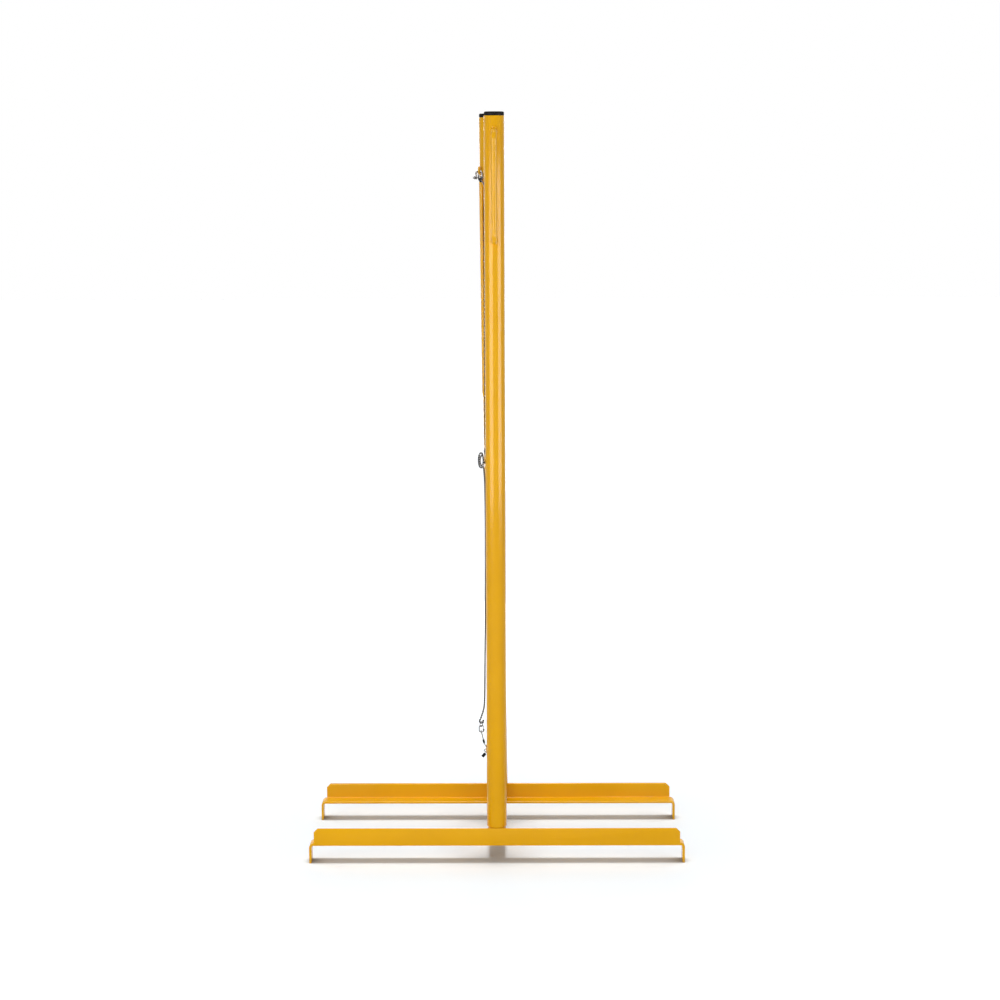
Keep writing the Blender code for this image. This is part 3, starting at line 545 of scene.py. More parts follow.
floor_material = bpy.data.materials.new("floor_white")
floor_material.use_nodes = True
tree = floor_material.node_tree
tree.nodes.clear()
seen = is_seen(tree)
# Painted shadow: the paper's colour darkens by ambient occlusion where the steel is near.
near = add_node(tree, "AmbientOcclusion", samples=16, Distance=SHADOW_REACH)
open_sky = ramp(tree, near.outputs["AO"], SHADOW_FULL, SHADOW_NONE, 0.0, 1.0)
shade = mixed(tree, seen, FLOOR_BOUNCE, mixed(tree, open_sky, FLOOR_PAINTED_SHADOW, FLOOR_WHITE))
paper = add_node(tree, "BsdfDiffuse", Color=shade)
away = add_node(tree, "VectorMath", operation="LENGTH")
tree.links.new(add_node(tree, "TexCoord").outputs["Object"], away.inputs[0])
spread = ramp(tree, away.outputs["Value"], GLOW_START, GLOW_END, 0.0, GLOW_FAR)
glow = add_node(tree, "Emission", Strength=worked_out(tree, "MULTIPLY", spread, seen))
both = add_node(tree, "AddShader")
tree.links.new(paper.outputs[0], both.inputs[0])
tree.links.new(glow.outputs[0], both.inputs[1])
add_node(tree, "OutputMaterial", Surface=both.outputs[0])
print("floor tree has", len(tree.nodes), "nodes")

# %% Floor
FLOOR_REACH = 20

bm = bmesh.new()
bmesh.ops.create_grid(bm, x_segments=1, y_segments=1, size=FLOOR_REACH)
floor_mesh = bpy.data.meshes.new("floor")
bm.to_mesh(floor_mesh)
bm.free()
floor = bpy.data.objects.new("floor", floor_mesh)
floor.data.materials.append(floor_material)
bpy.context.scene.collection.objects.link(floor)
print("floor is", round(floor.dimensions.x), "m wide")

# %% [markdown]
# ## Light
#
# The photograph shows three kinds of light. A broad lamp overhead makes the grey bands
# under the feet. White boards in front and behind light the posts evenly, more from
# the left. Two tall soft boxes put the two bright lines down each post. They stand near
# and end well above the floor, so the lines fade out half way down and the flat top of
# the base tube doesn't mirror them. Boards give no gloss and boxes only gloss, so each
# can be set by itself.

# %% Lamps' places and strengths
TOP_LAMP, TOP_LAMP_SPREAD = 1.85, 10
BOARD_DISTANCE, BOARD_WIDTH, BOARD_HEIGHTS = 3.0, 1.6, (0.1, 2.6)
BOX_DISTANCE, BOX_HEIGHTS = 1.3, (0.63, 1.9)
BOARDS = {
    # name: direction round the stand in degrees (0 is the front), radiance
    "board_front": (0, 2.6),
    "board_left": (-38, 1.95),
    "board_right": (50, 0.95),
    "board_back": (180, 2.7),
    "board_back_left": (-125, 1.1),
    "board_back_right": (125, 1.1),
}
BOXES = {
    # name: direction, width, radiance
    "box_left": (-37, 0.87, 12.5),
    "box_right": (50.4, 0.87, 12.5),
    "box_back": (180, 0.52, 9.0),
}


def add_lamp(name, bearing, away, radiance, width, heights):
    """An upright area lamp that faces the stand's axis; its power follows its radiance."""
    low, high = heights
    data = bpy.data.lights.new(name, "AREA")
    data.shape = "RECTANGLE"
    data.size, data.size_y = width, high - low
    data.energy = radiance * math.pi * width * (high - low)
    lamp = bpy.data.objects.new(name, data)
    around = Matrix.Rotation(math.radians(bearing), 4, "Z")
    upright = Matrix.Rotation(math.radians(90), 4, "X")
    lamp.matrix_world = around @ Matrix.Translation((0, -away, (low + high) / 2)) @ upright
    lamp.visible_camera = False
    bpy.context.scene.collection.objects.link(lamp)
    return lamp


print("lamp sizes are set")

# %% Top lamp, boards and boxes
top = bpy.data.lights.new("top_lamp", "SUN")
top.energy = TOP_LAMP
top.angle = math.radians(TOP_LAMP_SPREAD)
top_lamp = bpy.data.objects.new("top_lamp", top)
top_lamp.matrix_world = Matrix.Translation((0, 0, 3))
bpy.context.scene.collection.objects.link(top_lamp)
for name, (bearing, radiance) in BOARDS.items():
    board = add_lamp(name, bearing, BOARD_DISTANCE, radiance, BOARD_WIDTH, BOARD_HEIGHTS)
    board.visible_glossy = False
for name, (bearing, width, radiance) in BOXES.items():
    box = add_lamp(name, bearing, BOX_DISTANCE, radiance, width, BOX_HEIGHTS)
    box.visible_diffuse = False
print(len(BOARDS), "boards and", len(BOXES), "boxes")

# %% [markdown]
# ## Finishes
#
# Each finish is a small node tree on the Principled shader. Patterns read Object
# coordinates, which are metres here, so a noise of scale 900 has bumps about a
# millimetre apart.

# %% Finish helpers
def new_finish(name, roughness, metallic=0.0, specular=0.5):
    """A material with a Principled shader, its tree and its Object coordinates."""
    made = bpy.data.materials.new(name)
    made.use_nodes = True
    tree = made.node_tree
    shader = tree.nodes["Principled BSDF"]
    set_inputs(tree, shader, Roughness=roughness, Metallic=metallic)
    set_inputs(tree, shader, Specular_IOR_Level=specular)
    return made, tree, shader, add_node(tree, "TexCoord").outputs["Object"]


def bumped(tree, shader, heights):
    """Chains bumps onto the shader: (value, depth in metres, strength) each."""
    chain = {}
    for value, depth, strength in heights:
        bump = add_node(tree, "Bump", Strength=strength, Distance=depth, Height=value, **chain)
        chain = {"Normal": bump.outputs["Normal"]}
    set_inputs(tree, shader, **chain)


print("finish helpers are set")

# %% [markdown]
# ## Powder coat
#
# The yellow is a powder coat: a slightly orange-peeled skin, a touch deeper where it
# pooled, with a few paler flecks and fine dust in the last millimetres above the floor.
# A plain colour would look like plastic; the small change of gloss makes it a coat.

# %% Powder coat
COAT, COAT_POOLED = (0.800, 0.404, 0.0016), (0.765, 0.380, 0.0014)
COAT_FLECK, COAT_DUST = (0.84, 0.44, 0.004), (0.36, 0.24, 0.08)


def powder_coat():
    made, tree, shader, where = new_finish("powder_coat_yellow", 0.2, specular=0.16)
    pooled = ramp(tree, noise_field(tree, where, 9.0, 4.0), 0.35, 0.65, 0.0, 1.0)
    body = mixed(tree, pooled, COAT, COAT_POOLED)
    fleck = ramp(tree, noise_field(tree, where, 420.0, 2.0), 0.60, 0.72, 0.0, 0.35)
    body = mixed(tree, fleck, body, COAT_FLECK)
    height = add_node(tree, "SeparateXYZ", Vector=where).outputs["Z"]
    low = ramp(tree, height, mm(1), mm(12), 1.0, 0.0)
    patchy = ramp(tree, noise_field(tree, where, 260.0, 4.0), 0.42, 0.62, 0.0, 0.7)
    body = mixed(tree, worked_out(tree, "MULTIPLY", low, patchy), body, COAT_DUST)
    sheen = ramp(tree, noise_field(tree, where, 55.0, 3.0), 0.3, 0.7, 0.17, 0.20)
    set_inputs(tree, shader, Base_Color=body, Roughness=sheen)
    peel = noise_field(tree, where, 520.0, 1.0, 0.4)
    grain = noise_field(tree, where, 2200.0, 1.0, 0.5)
    bumped(tree, shader, [(peel, mm(0.05), 0.04), (grain, mm(0.012), 0.12)])
    return made


YELLOW = powder_coat()
print("powder coat has", len(YELLOW.node_tree.nodes), "nodes")

# %% [markdown]
# ## Plastics and zinc
#
# The caps are moulded polyethylene, nearly black and satin, and the sleeves are a
# shinier plastic. Zinc plate on the hardware is a slightly cloudy metal: its colour and
# its dullness both follow a fine noise, as worn plating does.

# %% Plastics and zinc
def moulded_plastic(name, colour, roughness):
    made, tree, shader, where = new_finish(name, roughness, specular=0.05)
    cloud = ramp(tree, noise_field(tree, where, 120.0, 3.0), 0.3, 0.7, 0.0, 1.0)
    lighter = [value * 1.7 + 0.001 for value in colour]
    fine = noise_field(tree, where, 400.0, 2.0)
    satin = ramp(tree, fine, 0.3, 0.7, roughness - 0.06, roughness + 0.1)
    set_inputs(tree, shader, Base_Color=mixed(tree, cloud, colour, lighter), Roughness=satin)
    grain = noise_field(tree, where, 3200.0, 2.0)
    bumped(tree, shader, [(grain, mm(0.02), 0.5)])
    return made


def zinc_plate(name, colour, roughness):
    made, tree, shader, where = new_finish(name, roughness, metallic=1.0)
    cloud = ramp(tree, noise_field(tree, where, 500.0, 3.0), 0.35, 0.65, 0.0, 1.0)
    darker = [value * 0.45 for value in colour]
    fine = noise_field(tree, where, 900.0, 3.0)
    dull = ramp(tree, fine, 0.3, 0.7, roughness - 0.08, roughness + 0.14)
    set_inputs(tree, shader, Base_Color=mixed(tree, cloud, colour, darker), Roughness=dull)
    pits = noise_field(tree, where, 3000.0, 2.0)
    bumped(tree, shader, [(pits, mm(0.02), 0.4)])
    return made


CAP_BLACK = moulded_plastic("cap_black", (0.0035, 0.0033, 0.0032), 0.5)
SLEEVE_BLACK = moulded_plastic("sleeve_black", (0.007, 0.007, 0.008), 0.36)
# The zinc's colour is kept dark: a painted darkness that stands in for dark surroundings in its
# reflections.
ZINC = zinc_plate("zinc_bright", (0.17, 0.16, 0.155), 0.20)
ROPE_STEEL = zinc_plate("rope_steel", (0.26, 0.255, 0.25), 0.32)
print("zinc has", len(ZINC.node_tree.nodes), "nodes")

# %% [markdown]
# ## Fibres
#
# Twine, cord and tape are spun from fine fibres. Their strands are real geometry, so
# the finish only adds fibre: a noise stretched into hairs, a matt sheen and a little
# unevenness of dye.

# %% Fibres
HAIR = (1.0, 1.0, 0.25)  # the noise is four times as long upwards as across


def spun_fibre(name, colour, pale):
    made, tree, shader, where = new_finish(name, 0.85, specular=0.1)
    dye = ramp(tree, noise_field(tree, where, 700.0, 4.0), 0.35, 0.7, 0.0, 1.0)
    set_inputs(tree, shader, Base_Color=mixed(tree, dye, colour, pale))
    set_inputs(tree, shader, Sheen_Weight=0.05, Sheen_Roughness=0.5)
    fibres = noise_field(tree, where, 5200.0, 2.0, 0.6, stretch=HAIR)
    bumped(tree, shader, [(fibres, mm(0.08), 0.6)])
    return made


TWINE = spun_fibre("twine_black", (0.010, 0.010, 0.011), (0.032, 0.032, 0.034))
CORD_BLACK = spun_fibre("cord_black", (0.007, 0.007, 0.008), (0.018, 0.018, 0.019))
CORD_WHITE = spun_fibre("cord_white", (0.80, 0.79, 0.77), (0.64, 0.63, 0.61))
THREAD = spun_fibre("thread_black", (0.045, 0.045, 0.048), (0.085, 0.085, 0.09))
print("twine has", len(TWINE.node_tree.nodes), "nodes")

# %% [markdown]
# ## Woven tape
#
# The tape is a plain weave. Two wave textures, one along the tape and one across it,
# are multiplied into a grid of little humps. They read the tape's own UV map, in
# metres, because the band is folded and waved and the weave has to follow the cloth.

# %% Woven tape
TAPE_DYE, TAPE_FADED = (0.014, 0.014, 0.016), (0.030, 0.030, 0.033)
TAPE_PAINTED_SHEEN = (0.052, 0.052, 0.056)
THREADS = {"X": mm(0.9), "Y": mm(0.7)}
WAVES_PER_UNIT = 3.18  # a wave texture of scale 1 repeats so many times in a unit


def woven_tape():
    """Plain weave on the tape's own map: U runs along the tape and V across it, in metres."""
    made, tree, shader, where = new_finish("tape_black", 0.8, specular=0.12)
    own = add_node(tree, "UVMap", uv_map="weave").outputs["UV"]
    waves = []
    for direction, pitch in THREADS.items():
        wave = add_node(tree, "TexWave", wave_type="BANDS", bands_direction=direction)
        set_inputs(tree, wave, Vector=own, Scale=1 / (pitch * WAVES_PER_UNIT))
        set_inputs(tree, wave, Distortion=0.6, Detail=1.0)
        waves.append(wave.outputs["Fac"])
    weave = worked_out(tree, "MULTIPLY", *waves)
    faded = ramp(tree, noise_field(tree, where, 90.0, 4.0), 0.3, 0.75, 0.0, 1.0)
    # The weave's crowns are made paler: a painted sheen where the threads rise.
    base = mixed(tree, weave, mixed(tree, faded, TAPE_DYE, TAPE_FADED), TAPE_PAINTED_SHEEN)
    set_inputs(tree, shader, Base_Color=base, Sheen_Weight=0.08)
    crease = noise_field(tree, where, 60.0, 3.0)
    bumped(tree, shader, [(crease, mm(0.8), 0.25), (weave, mm(0.12), 0.8)])
    return made


TAPE = woven_tape()
print("tape has", len(TAPE.node_tree.nodes), "nodes")

# %% [markdown]
# ## Modelling helpers
#
# A rod, a rope and a weld bead are all one thing: an outline carried along a line. The
# outline starts as a circle, is extruded edge by edge, and each new ring is moved to
# the next place on the line. Turned pieces are a profile spun about an axis.

# %% Finishing a piece
CREASE, FIBRE_CREASE, ROPE_CREASE = 40, 60, 80


def only(items, kind):
    """The vertices, edges or faces among what an operator gives back."""
    return [item for item in items if isinstance(item, kind)]


def merged(bm, near=mm(0.002)):
    bmesh.ops.remove_doubles(bm, verts=bm.verts, dist=near)


def finish_piece(name, bm, body, finishes, nodes=(), slot=None, place=UPRIGHT, crease=CREASE):
    """Welds and orients a mesh, sets it in place, and gives it its finish and its body."""
    merged(bm)
    bmesh.ops.transform(bm, matrix=place, verts=bm.verts)
    bmesh.ops.recalc_face_normals(bm, faces=bm.faces)
    mesh = bpy.data.meshes.new(name)
    bm.to_mesh(mesh)
    bm.free()
    mesh.shade_smooth()
    mesh.set_sharp_from_angle(angle=math.radians(crease))
    made = bpy.data.objects.new(name, mesh)
    bpy.context.scene.collection.objects.link(made)
    for finish in finishes if isinstance(finishes, (list, tuple)) else [finishes]:
        mesh.materials.append(finish)
    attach(made, body)
    if nodes:
        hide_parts(*([nodes] if isinstance(nodes, str) else nodes))
    print(name, len(mesh.polygons), "faces")


print("edges over", CREASE, "degrees are kept sharp")

# %% [markdown]
# ## Carrying an outline along a line
#
# The line gets a frame at each point, turned no more than the line itself turns. The
# ring of vertices is extruded and moved from frame to frame, and bridged to its start
# where the line is closed.

# %% Frames along a line
def axes_frame(origin, x, y, z):
    return Matrix.Translation(origin) @ Matrix((x, y, z)).transposed().to_4x4()


def frame_along(origin, ahead, up=(0, 0, 1)):
    """A frame at the origin with its Z along a direction."""
    z = Vector(ahead).normalized()
    x = Vector(up).cross(z).normalized()
    return axes_frame(origin, x, z.cross(x), z)


def line_frames(line, closed):
    """A frame at each point of a line, turned no more than the line turns."""
    count = len(line)
    frames, up = [], None
    for i, point in enumerate(line):
        before = line[i - 1] if i > 0 or closed else point
        after = line[(i + 1) % count] if i < count - 1 or closed else point
        z = (after - before).normalized()
        if up is None:
            up = Vector((0, 0, 1)) if abs(z.z) < 0.9 else Vector((1, 0, 0))
        up = (up - z * up.dot(z)).normalized()
        frames.append(axes_frame(point, up, z.cross(up), z))
    return frames


print("the head cable gets", len(line_frames(head_cable_line, False)), "frames")

# %% Joining and drawing
def add_part(bm, part, place=UPRIGHT):
    """Joins one mesh into another, in place."""
    bmesh.ops.transform(part, matrix=place, verts=part.verts)
    held = bpy.data.meshes.new("part")
    part.to_mesh(held)
    part.free()
    bm.from_mesh(held)
    bpy.data.meshes.remove(held)


def drawn(bm, points, closed=True):
    """Vertices at the points, and the edges between them."""
    verts = [bm.verts.new(point) for point in points]
    follow = verts[1:] + verts[:1] if closed else verts[1:]
    return verts, [bm.edges.new(pair) for pair in zip(verts, follow)]


trial = bmesh.new()
print("a trial triangle has", len(drawn(trial, [(0, 0, 0), (1, 0, 0), (0, 1, 0)])[1]), "edges")
trial.free()

# %% [markdown]
# ## Sweeps
#
# A sweep starts as a circle. Its lobes are pressed in before it is extruded, and each
# vertex stores its angle in a layer of its own. A size at each point makes tapers.

# %% Sweeps
ROPE_STRETCH = 40  # steps of a long rope that are made at a time
LONG_ROPE = 60


def carry_ring(bm, places, ring):
    """Extrudes a ring of vertices from place to place; gives its first and last edges."""
    bmesh.ops.transform(bm, matrix=places[0], verts=ring)
    edges = list(dict.fromkeys(edge for vert in ring for edge in vert.link_edges))
    first = list(edges)
    for before, after in zip(places, places[1:]):
        grown = bmesh.ops.extrude_edge_only(bm, edges=edges)["geom"]
        ring = only(grown, BMVert)
        inside = set(ring)
        edges = [edge for edge in only(grown, BMEdge) if set(edge.verts) <= inside]
        bmesh.ops.transform(bm, matrix=after @ before.inverted(), verts=ring)
    return first, edges


def sweep(bm, line, radius, sides=16, closed=False, twist=0.0, lobes=0, depth=0.0, scales=None):
    """A rod, rope or bead along a line. Lobes are strands, twist is turns per metre."""
    line = [Vector(point) for point in line]
    places, run = [], 0.0
    for i, place in enumerate(line_frames(line, closed)):
        if i:
            run += (line[i] - line[i - 1]).length
        size = scales[i] if scales else 1.0
        spin = Matrix.Rotation(run * twist * 2 * math.pi, 4, "Z")
        places.append(place @ spin @ Matrix.Diagonal((size, size, 1.0, 1.0)))
    # A long rope is made in stretches, because each step costs more on a larger mesh.
    stretch = ROPE_STRETCH if not closed and len(places) > LONG_ROPE else len(places)
    for begin in range(0, len(places) - 1, stretch):
        part = bmesh.new()
        around = part.verts.layers.float.new("around")
        ring = bmesh.ops.create_circle(part, segments=sides, radius=1.0)["verts"]
        for vert in ring:
            angle = math.atan2(vert.co.y, vert.co.x) % (2 * math.pi)
            vert[around] = angle / (2 * math.pi)
            dip = abs(math.sin(lobes * angle / 2)) if lobes else 1.0
            vert.co *= radius * (1.0 - depth * (1.0 - dip))
        first, last = carry_ring(part, places[begin : begin + stretch + 1], ring)
        if closed:
            bmesh.ops.bridge_loops(part, edges=first + last)
        if begin == 0 and not closed:
            bmesh.ops.contextual_create(part, geom=first)
        if begin + stretch >= len(places) - 1 and not closed:
            bmesh.ops.contextual_create(part, geom=last)
        add_part(bm, part)
    merged(bm, mm(0.01))


trial = bmesh.new()
sweep(trial, [(0, 0, 0), (0, 0, mm(10)), (0, 0, mm(20))], mm(1), sides=8)
print("a trial rod of 8 sides has", len(trial.faces), "faces")
trial.free()

# %% [markdown]
# ## Turned and cut-out shapes
#
# Round pieces are a profile spun about Z, and flat ones an outline pushed out to a
# thickness. Sharp edges are eased by a small bevel, because paint and moulds leave none.

# %% Spins and outlines
def spin_profile(bm, profile, steps=64, closed=False):
    """Turns a profile of (radius, height) about Z."""
    verts, edges = drawn(bm, [(r, 0.0, z) for r, z in profile], closed)
    about = {"axis": (0, 0, 1), "cent": (0, 0, 0), "angle": 2 * math.pi}
    bmesh.ops.spin(bm, geom=verts + edges, steps=steps, use_merge=True, **about)
    merged(bm)


def extruded(bm, outline, depth):
    """A flat outline in XY, made a solid that is centred on Z."""
    face = bm.faces.new([bm.verts.new((x, y, -depth / 2)) for x, y in outline])
    grown = bmesh.ops.extrude_face_region(bm, geom=[face])["geom"]
    bmesh.ops.translate(bm, vec=(0, 0, depth), verts=only(grown, BMVert))


def eased(bm, width, angle=50, segments=2):
    """Rounds the sharp edges a little, as paint and moulds do."""
    shared = [edge for edge in bm.edges if len(edge.link_faces) == 2]
    sharp = [edge for edge in shared if edge.calc_face_angle(0) > math.radians(angle)]
    round_off = {"segments": segments, "profile": 0.5, "material": -1}
    safely = {"offset_type": "OFFSET", "affect": "EDGES", "clamp_overlap": True}
    bmesh.ops.bevel(bm, geom=sharp, offset=width, **round_off, **safely)


def both_ways(half):
    """A profile in millimetres: its upper half as given, and the mirror image below."""
    upper = [(mm(r), mm(z)) for r, z in half]
    return upper + [(r, -z) for r, z in reversed(upper)]


def add_turned(bm, profile, place, steps=32, closed=False):
    """A turned piece set into another mesh."""
    part = bmesh.new()
    spin_profile(part, profile, steps, closed)
    add_part(bm, part, place)


trial = bmesh.new()
spin_profile(trial, both_ways([(4, 3), (5, 3)]), 24, closed=True)
print("a trial bush holds", round(trial.calc_volume() * 1e9), "cubic millimetres")
trial.free()

# %% [markdown]
# ## Weld beads
#
# A weld is a bead of small overlapping ripples. They could be a bump texture; here the
# bead's thickness rises and falls along its line, so its outline is rippled too.

# %% Weld beads
RIPPLE_STEPS, RIPPLE_DEPTH, RIPPLE_LONG = 6, 0.16, mm(1.8)
BEAD_SUNK = 0.45  # how much of a bead's radius lies off the rod


def ripples(count):
    """The bead's thickness along its line, one rise and fall a ripple."""
    turns = [2 * math.pi * i / RIPPLE_STEPS for i in range(count)]
    return [1.0 + RIPPLE_DEPTH * math.cos(turn) for turn in turns]


print("a ripple is", RIPPLE_LONG * 1000, "mm long")

# %% [markdown]
# ## Where a bead lies
#
# A saddle bead closes round the foot of a rod. A straight one runs along a seam and
# fades at both ends, where the welder starts and stops.

# %% Saddle beads and straight beads
def saddle_line(rod, post, count=72):
    """Where a rod of one radius, along +X through the post's axis, meets the post."""
    line = []
    for i in range(count):
        a = 2 * math.pi * i / count
        across_rod = rod * math.cos(a)
        line.append(Vector((math.sqrt(post**2 - across_rod**2), across_rod, rod * math.sin(a))))
    return line


def add_saddle_weld(bm, rod, place, bead):
    """A weld round the foot of a rod on a post."""
    part = bmesh.new()
    line = saddle_line(rod + bead * BEAD_SUNK, POST_RADIUS)
    sweep(part, line, bead, sides=10, closed=True, scales=ripples(len(line)))
    add_part(bm, part, place)


def add_straight_weld(bm, first, last, bead=mm(1.6)):
    """A weld along a seam, tapered at both ends."""
    first, last = Vector(first), Vector(last)
    count = max(8, round((last - first).length / RIPPLE_LONG) * RIPPLE_STEPS)
    line = [first.lerp(last, i / count) for i in range(count + 1)]
    sizes = ripples(len(line))
    for i in range(5):
        fade = 0.35 + 0.65 * i / 5
        sizes[i] *= fade
        sizes[-1 - i] *= fade
    sweep(bm, line, bead, sides=10, scales=sizes)


print("a saddle weld round a 12 mm rod has", len(saddle_line(mm(6), POST_RADIUS)), "steps")

# %% [markdown]
# ## Feet
#
# Each foot is one piece of rolled angle. The section is drawn as two faces that share
# an edge, the lower flange and the upright one with its root fillet and rounded toe.
# Both are pushed out to the end of the upright flange; then only the lower face goes
# on, round a bend and down to the floor. The upright's corners are cut off at 45
# degrees by a plane.

# %% Feet
FOOT_HALF = 0.425
FLANGE_HALF = 0.414
CORNER_CUT = mm(9)
BEND_RADIUS = mm(10)
FOOT_OUTER = POST_RADIUS + mm(0.25)
FOOT_EASED, FOOT_SHARP = mm(0.45), 55  # between the bend's small steps and the 60 degree edges


def build_foot(name, side, node):
    bm = bmesh.new()
    low, thick, root, toe = FLANGE_UNDER, ANGLE_THICK, mm(3), mm(2.5)

    def corner(inward, z):
        return bm.verts.new((0.0, side * (FOOT_OUTER - inward), z))

    a, b = corner(0, low), corner(ANGLE_SIZE, low)
    toe_points = arc((ANGLE_SIZE - toe, low + thick - toe), toe, 0, 90, 5)
    lower = [a, b, *[corner(u, z) for u, z in toe_points]]
    fillet_end, inner_top = corner(thick + root, low + thick), corner(0, low + thick)
    lower_face = bm.faces.new([*lower, fillet_end, inner_top])
    fillet = arc((thick + root, low + thick + root), root, 270, 180, 6)[1:]
    upper_toe = arc((thick - toe, low + ANGLE_SIZE - toe), toe, 0, 90, 5)
    upper = [corner(u, z) for u, z in fillet + upper_toe] + [corner(0, low + ANGLE_SIZE)]
    upper_face = bm.faces.new([inner_top, fillet_end, *upper])
    grow = bmesh.ops.extrude_face_region(bm, geom=[lower_face, upper_face])["geom"]
    bmesh.ops.translate(bm, vec=(FLANGE_HALF, 0, 0), verts=only(grow, BMVert))
    end_face = min(only(grow, BMFace), key=lambda face: face.calc_center_median().z)
    # The lower flange alone runs on to the bend.
    run_on = bmesh.ops.extrude_discrete_faces(bm, faces=[end_face])["faces"][0]
    bend_x = FOOT_HALF - BEND_RADIUS
    bmesh.ops.translate(bm, vec=(bend_x - FLANGE_HALF, 0, 0), verts=run_on.verts)
    about = {"axis": (0, 1, 0), "cent": (bend_x, 0, low + thick - BEND_RADIUS)}
    bent = bmesh.ops.spin(bm, geom=[run_on], angle=math.radians(90), steps=12, **about)
    bmesh.ops.delete(bm, geom=[run_on], context="FACES_ONLY")
    foot_face = only(bent["geom_last"], BMFace)[0]
    leg = bmesh.ops.extrude_discrete_faces(bm, faces=[foot_face])["faces"][0]
    bmesh.ops.translate(bm, vec=(0, 0, -leg.calc_center_median().z), verts=leg.verts)
    middle = [face for face in bm.faces if all(abs(v.co.x) < 1e-6 for v in face.verts)]
    bmesh.ops.delete(bm, geom=middle, context="FACES")
    merged(bm)
    # A plane cuts the upright flange's corner off.
    whole = [*bm.verts, *bm.edges, *bm.faces]
    plane = {"plane_co": (FLANGE_HALF - CORNER_CUT, 0, low + ANGLE_SIZE), "plane_no": (1, 0, 1)}
    cut = bmesh.ops.bisect_plane(bm, geom=whole, clear_outer=True, **plane)
    bmesh.ops.holes_fill(bm, edges=only(cut["geom_cut"], BMEdge), sides=0)
    bmesh.ops.mirror(bm, geom=[*bm.verts, *bm.edges, *bm.faces], axis="X", merge_dist=mm(0.01))
    merged(bm)
    bmesh.ops.recalc_face_normals(bm, faces=bm.faces)
    eased(bm, FOOT_EASED, FOOT_SHARP)
    place = Matrix.Translation((0, side * REAR_Y, 0))
    finish_piece(name, bm, "base", YELLOW, node, "yellow_paint", place, 30)


build_foot("front_foot", -1, "foot_front")
build_foot("rear_foot", 1, "foot_rear")

# %% [markdown]
# ## Base tube
#
# The base tube lies on the two lower flanges and is welded along its sides. Its ends are
# coped round the spigots. A boolean could cut them, but it leaves long thin faces; here
# the flat sides get extra vertices, and each end vertex is moved to where the cut runs.

# %% Base tube's outline and copes
TUBE_WIDTH, TUBE_HEIGHT, TUBE_WALL, TUBE_ROUND = mm(40), mm(30), mm(2.5), mm(5)
TUBE_LOW = FLANGE_UNDER + ANGLE_THICK + mm(0.3)
COPE_RADIUS, COPE_CUTS = mm(17.6), 11
SEAM_START, SEAM_END = mm(159.5), mm(187)


def rounded_rectangle(width, height, radius, count=6):
    points = []
    for quarter, (cx, cy) in enumerate(((1, 1), (-1, 1), (-1, -1), (1, -1))):
        centre = (cx * (width / 2 - radius), cy * (height / 2 - radius))
        points += arc(centre, radius, 90 * quarter, 90 * quarter + 90, count)
    return points


def close_ends(bm, axis):
    """Joins an inner and an outer wall at both ends."""
    for way in (-1, 1):
        open_edges = [edge for edge in bm.edges if edge.is_boundary]
        rims = [edge for edge in open_edges if getattr(edge.verts[0].co, axis) * way > 0]
        bmesh.ops.bridge_loops(bm, edges=rims)


def coped_end(x):
    """How far the tube reaches at one side of its width: round the spigot, or to its end."""
    beside = REAR_Y - math.sqrt(max(0.0, COPE_RADIUS**2 - x * x))
    return min(REAR_Y - mm(6), beside)


print("the cope reaches", round((REAR_Y - coped_end(0)) * 1000, 1), "mm from the post's axis")

# %% [markdown]
# ## Tube walls and welds
#
# The outer and the inner wall are made in the same way and joined at their ends. Four
# weld beads run along the tube where it lies on the feet.

# %% Base tube with its welds
def build_base_tube():
    bm = bmesh.new()
    for inset in (0.0, TUBE_WALL):
        shell = bmesh.new()
        width, height = TUBE_WIDTH - 2 * inset, TUBE_HEIGHT - 2 * inset
        outline = rounded_rectangle(width, height, TUBE_ROUND - inset)
        middle = TUBE_LOW + TUBE_HEIGHT / 2
        edges = drawn(shell, [(x, 0.0, middle + z) for x, z in outline])[1]
        flats = [edge for edge in edges if edge.calc_length() > TUBE_ROUND + mm(1)]
        bmesh.ops.subdivide_edges(shell, edges=flats, cuts=COPE_CUTS)
        near = list(shell.verts)
        grown = bmesh.ops.extrude_edge_only(shell, edges=list(shell.edges))["geom"]
        for ends, way in ((near, -1), (only(grown, BMVert), 1)):
            for vert in ends:
                vert.co.y = way * coped_end(vert.co.x)
        add_part(bm, shell)
    close_ends(bm, "y")
    finish_piece("base_rail", bm, "base", YELLOW, "base_tube", "yellow_paint", crease=30)
    welds = bmesh.new()
    z = TUBE_LOW + mm(0.9)
    for x in (mm(1.2) - TUBE_WIDTH / 2, TUBE_WIDTH / 2 - mm(1.2)):
        for end in (-1, 1):
            add_straight_weld(welds, (x, end * SEAM_START, z), (x, end * SEAM_END, z))
    finish_piece("base_rail_welds", welds, "base", YELLOW, slot="yellow_paint")


build_base_tube()

# %% [markdown]
# ## Spigots
#
# Each spigot is a short thick tube with a lead-in at the top that the post slides over.
# It is spun from a profile, and a weld bead runs round the inner half of its foot,
# where it stands on the flange.

# %% Spigots
SPIGOT_RADIUS, SPIGOT_WALL, SPIGOT_TOP = mm(17.3), mm(4), mm(185)
BEAD_STEPS, BEAD_PAST = 108, mm(9)


